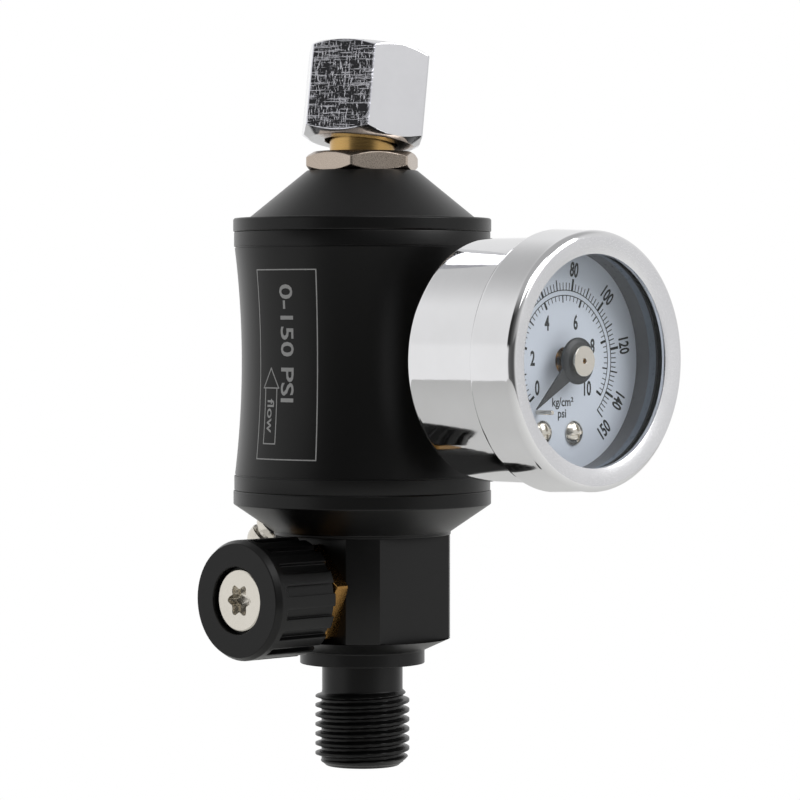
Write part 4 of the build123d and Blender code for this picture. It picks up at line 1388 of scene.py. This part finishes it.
# ------------------------------------------------------------------ marking on the waist
@dataclass
class BodyMark:
    """A laser-marked panel on the waist: a frame, a pressure range and a flow arrow with its word."""

    body: WaistedBody
    middle_turn: float = math.radians(186.3)
    half_width: float = math.radians(17.3)
    low: float = 43.2
    high: float = 69.0
    line: float = 0.16
    mean_r: float = 17.2
    sunk: float = -0.05
    raised: float = 0.014
    word_turn: float = math.radians(187.4)
    arrow_turn: float = math.radians(177.2)

    def drape(self, mesh: Mesh) -> Mesh:
        """Bend a flat mesh onto the waist.

        Args:
            mesh: A mesh whose x, y and z are turn, height and depth.

        Returns:
            The same mesh.
        """
        for vertex in mesh.vertices:
            turn, level, depth = vertex.co
            vertex.co = polar(self.body.surface(level) + depth, turn, level)
        return mesh

    def stroke(self, start: Spot, end: Spot) -> Mesh:
        """Return a thin line, draped on the waist.

        Args:
            start: Its first (turn, height).
            end: Its last.

        Returns:
            The line's mesh.
        """
        reach = self.mean_r
        a, b = Vector((start[0] * reach, start[1])), Vector((end[0] * reach, end[1]))
        way = (b - a).normalized()
        side = Vector((-way.y, way.x)) * self.line / 2
        a, b = a - way * self.line / 2, b + way * self.line / 2
        steps = max(1, round((b - a).length / 0.8))
        corners = ((-1, self.sunk), (1, self.sunk), (1, self.raised), (-1, self.raised))
        middles = [a + (b - a) * n / steps for n in range(steps + 1)]
        return self.drape(bar_mesh([
            [Vector(((p.x + s * side.x) / reach, p.y + s * side.y, depth)) for s, depth in corners]
            for p in middles]))

    def word(self, text: str, cap: float, length: float, turn: float, level: float, bold: float) -> Mesh:
        """Return a word that reads downwards, draped on the waist.

        Args:
            text: The word.
            cap: Capital height.
            length: The word's length.
            turn: Where its middle is, radians.
            level: Its middle's height.
            bold: How far the strokes are thickened.

        Returns:
            The word's mesh.
        """
        mesh = fine(lettering(text, cap, 1.0, self.sunk, self.raised, bold), 0.3)
        xs = [v.co.x for v in mesh.vertices]
        stretch = length / (max(xs) - min(xs))
        for vertex in mesh.vertices:
            x, y, depth = vertex.co
            vertex.co = (turn + y / self.body.surface(level), level - x * stretch, depth)
        return self.drape(mesh)

    def chain(self, points: Sequence[Spot]) -> list[Mesh]:
        """Return the lines of a closed figure."""
        return [self.stroke(a, b) for a, b in zip(points, list(points[1:]) + [points[0]])]

    def build(self) -> Piece:
        """Build the whole marking as one piece."""
        left, right = self.middle_turn - self.half_width, self.middle_turn + self.half_width
        meshes = self.chain([(left, self.low), (right, self.low), (right, self.high), (left, self.high)])
        meshes.append(self.word("0-150 PSI", 2.1, 16.0, self.word_turn, 59.0, 0.012))
        arrow, half = self.arrow_turn, math.radians(5.1)
        meshes += self.chain([(arrow, 55.6), (arrow - half, 52.9), (arrow + half, 52.9)])
        tail = math.radians(3.9)
        meshes += self.chain([(arrow - tail, 52.9), (arrow - tail, 45.3), (arrow + tail, 45.3),
                              (arrow + tail, 52.9)])
        meshes.append(self.word("flow", 1.3, 4.6, arrow, 49.1, 0.01))
        piece = gather("body_mark", meshes, LASER_MARK)
        piece.data.transform(MAIN.matrix())
        return settle(piece, "base", "black_anodised_aluminium")


# ------------------------------------------------------------------ pieces kept from the CAD
@dataclass
class KeptNodes:
    """The pieces that stay as their CAD nodes, each with its own finish."""

    groups: tuple[tuple[Finish, str], ...] = (
        (NITRILE, "lower_body_oring upper_body_oring adapter_oring spindle_oring bleed_seal"),
        (PTFE, "gauge_seal valve_seat"),
        (SINTER, "filter_element"),
        (SPRING_WIRE, "filter_spring"),
        (BRIGHT_NICKEL, "plate_screws"),
        (BRONZE, "bourdon_tube hairspring"),
        (DRAWN_BRASS, "filter_cap spindle gauge_socket pinion_arbor sector_gear sector_arbor link_bar "
                      "bourdon_tip rear_plate front_plate plate_pillars"))

    def build(self) -> None:
        """Give each kept node its finish."""
        for finish, names in self.groups:
            for name in names.split():
                mesh = frame["nodes"][name].data
                mesh.materials.clear()
                mesh.materials.append(finish.build())
                log.info("%s: %s", name, finish.name)


# ------------------------------------------------------------------ studio
@dataclass
class Studio:
    """The camera, a pale floor and a soft surround that is light behind the part and dark by the camera.

    Each ramp holds pairs of turn, in degrees to the camera's right, and brightness. The level ramp lights
    what looks along the floor; the raised ramp takes over between the two rises of raised_from, and the
    overhead brightness between those of overhead_from.
    """

    camera_turn: float = -45.3
    distance: float = 0.502
    height: float = 0.062
    lens_mm: float = 162.0
    sensor_mm: float = 36.0
    pitch: float = 1.43
    yaw: float = 0.6
    level_ramp: tuple[Spot, ...] = (
        (-180, 1.0), (-130, 1.0), (-78, 1.0), (-50, 0.9), (-42, 0.25), (-25, 0.13), (15, 0.09),
        (34, 0.13), (50, 0.55), (66, 0.85), (90, 0.78), (120, 0.75), (180, 1.0))
    raised_ramp: tuple[Spot, ...] = (
        (-180, 0.9), (-155, 0.95), (-100, 0.95), (-80, 0.9), (-70, 0.04), (-40, 0.03), (0, 0.12), (35, 0.45),
        (60, 0.85), (100, 0.8), (180, 0.9))
    raised_from: Spot = (0.15, 0.23)
    overhead: float = 0.5
    overhead_from: Spot = (0.55, 0.85)
    light_reach: float = 0.9
    light_height: float = 0.05
    floor_r: float = 800.0
    floor_drop: float = 135.0

    def camera(self) -> None:
        """Place the camera."""
        turn = math.radians(self.camera_turn)
        data = bpy.data.cameras.new("camera")
        data.lens, data.sensor_width = self.lens_mm, self.sensor_mm
        data.clip_start, data.clip_end = 0.01, 20
        camera = bpy.data.objects.new("camera", data)
        bpy.context.scene.collection.objects.link(camera)
        camera.location = (self.distance * math.sin(turn), -self.distance * math.cos(turn), self.height)
        camera.rotation_euler = (math.radians(90 - self.pitch), 0, turn - math.radians(self.yaw))
        bpy.context.scene.camera = camera

    def world(self) -> None:
        """Build the surround: white to the camera, and a ramp round the horizon to everything else."""
        world = bpy.data.worlds.new("surround")
        world.use_nodes = True
        bpy.context.scene.world = world
        tree = world.node_tree
        tree.nodes.clear()
        way = add_node(tree, "ShaderNodeTexCoord").outputs["Generated"]
        parts = add_node(tree, "ShaderNodeSeparateXYZ", {0: way}).outputs
        toward = math.radians(self.camera_turn - 90)
        turned = add_node(tree, "ShaderNodeVectorRotate", {"Vector": way, "Angle": -toward},
                          rotation_type="Z_AXIS").outputs[0]
        flat = add_node(tree, "ShaderNodeSeparateXYZ", {0: turned}).outputs
        angle = add_node(tree, "ShaderNodeMath", {0: flat[1], 1: flat[0]}, operation="ARCTAN2").outputs[0]
        share = add_node(tree, "ShaderNodeMapRange", {
            "Value": angle, "From Min": -math.pi, "From Max": math.pi}).outputs[0]
        level, raised = (self.ramp(tree, share, stops) for stops in (self.level_ramp, self.raised_ramp))
        lift, steep = (add_node(tree, "ShaderNodeMapRange", {
            "Value": parts[2], "From Min": low, "From Max": high}, interpolation_type="SMOOTHSTEP").outputs[0]
            for low, high in (self.raised_from, self.overhead_from))
        ray = add_node(tree, "ShaderNodeLightPath").outputs["Is Camera Ray"]
        seen = level
        for weight, light in ((lift, raised), (steep, (*[self.overhead] * 3, 1)), (ray, (1, 1, 1, 1))):
            mixed = add_node(tree, "ShaderNodeMix", {0: weight, 6: seen, 7: light}, data_type="RGBA")
            seen = mixed.outputs[2]
        back = add_node(tree, "ShaderNodeBackground", {"Color": seen})
        add_node(tree, "ShaderNodeOutputWorld", {"Surface": back.outputs[0]})

    def ramp(self, tree: Tree, share: Socket,
             values: Sequence[Spot]) -> Socket:
        """Return the brightness round the horizon.

        Args:
            tree: The world's node tree.
            share: The turn from the camera, as a share from 0 to 1.
            values: Pairs of turn, in degrees, and brightness.

        Returns:
            The socket that carries the brightness.
        """
        node = add_node(tree, "ShaderNodeValToRGB", {0: share})
        stops = node.color_ramp.elements
        stops.remove(stops[-1])
        for place, (degrees, value) in enumerate(values):
            stop = stops[0] if place == 0 else stops.new((degrees + 180) / 360)
            stop.position = (degrees + 180) / 360
            stop.color = (value, value, value, 1)
        return node.outputs[0]

    def softbox(self, name: str, turn: float, lift: float, size: float, power: float) -> None:
        """Hang one square softbox round the part.

        Args:
            name: Its name.
            turn: Its turn from the camera, degrees, to the camera's right.
            lift: Its elevation, degrees.
            size: Its side, metres.
            power: Its power, watts.
        """
        data = bpy.data.lights.new(name, "AREA")
        data.size, data.energy = size, power
        light = bpy.data.objects.new(name, data)
        bpy.context.scene.collection.objects.link(light)
        across, up = math.radians(self.camera_turn + turn), math.radians(lift)
        aim = Vector((math.sin(across) * math.cos(up), -math.cos(across) * math.cos(up), math.sin(up)))
        light.location = aim * self.light_reach + Vector((0, 0, self.light_height))
        light.rotation_euler = aim.to_track_quat("Z", "Y").to_euler()

    def build(self) -> None:
        """Set up the camera, the surround, the lights and the floor."""
        self.camera()
        self.world()
        self.softbox("softbox_right", 70, 35, 0.5, 3)
        self.softbox("softbox_front", 25, 50, 0.5, 1.5)
        top = 1 - self.floor_drop
        outline = [(0, -self.floor_drop), (self.floor_r, -self.floor_drop), (self.floor_r, top), (0, top)]
        floor = lathe("floor", outline, MAIN, PTFE, loop=False)
        bpy.context.scene.view_settings.view_transform = "Standard"


# ------------------------------------------------------------------ build
def main() -> None:
    """Build every piece, then the studio."""
    logging.basicConfig(level=logging.INFO, format="%(name)s %(message)s")
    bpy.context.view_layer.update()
    body = WaistedBody()
    for part in (ValveBlock(), body, OutletEnd(), ValveKnob(), BleedScrew(), GaugeShell(), GaugeDial(),
                 Pointer(), BodyMark(body), KeptNodes(), Studio()):
        log.info("building %s", type(part).__name__)
        part.build()


if __name__ == "__main__":
    main()
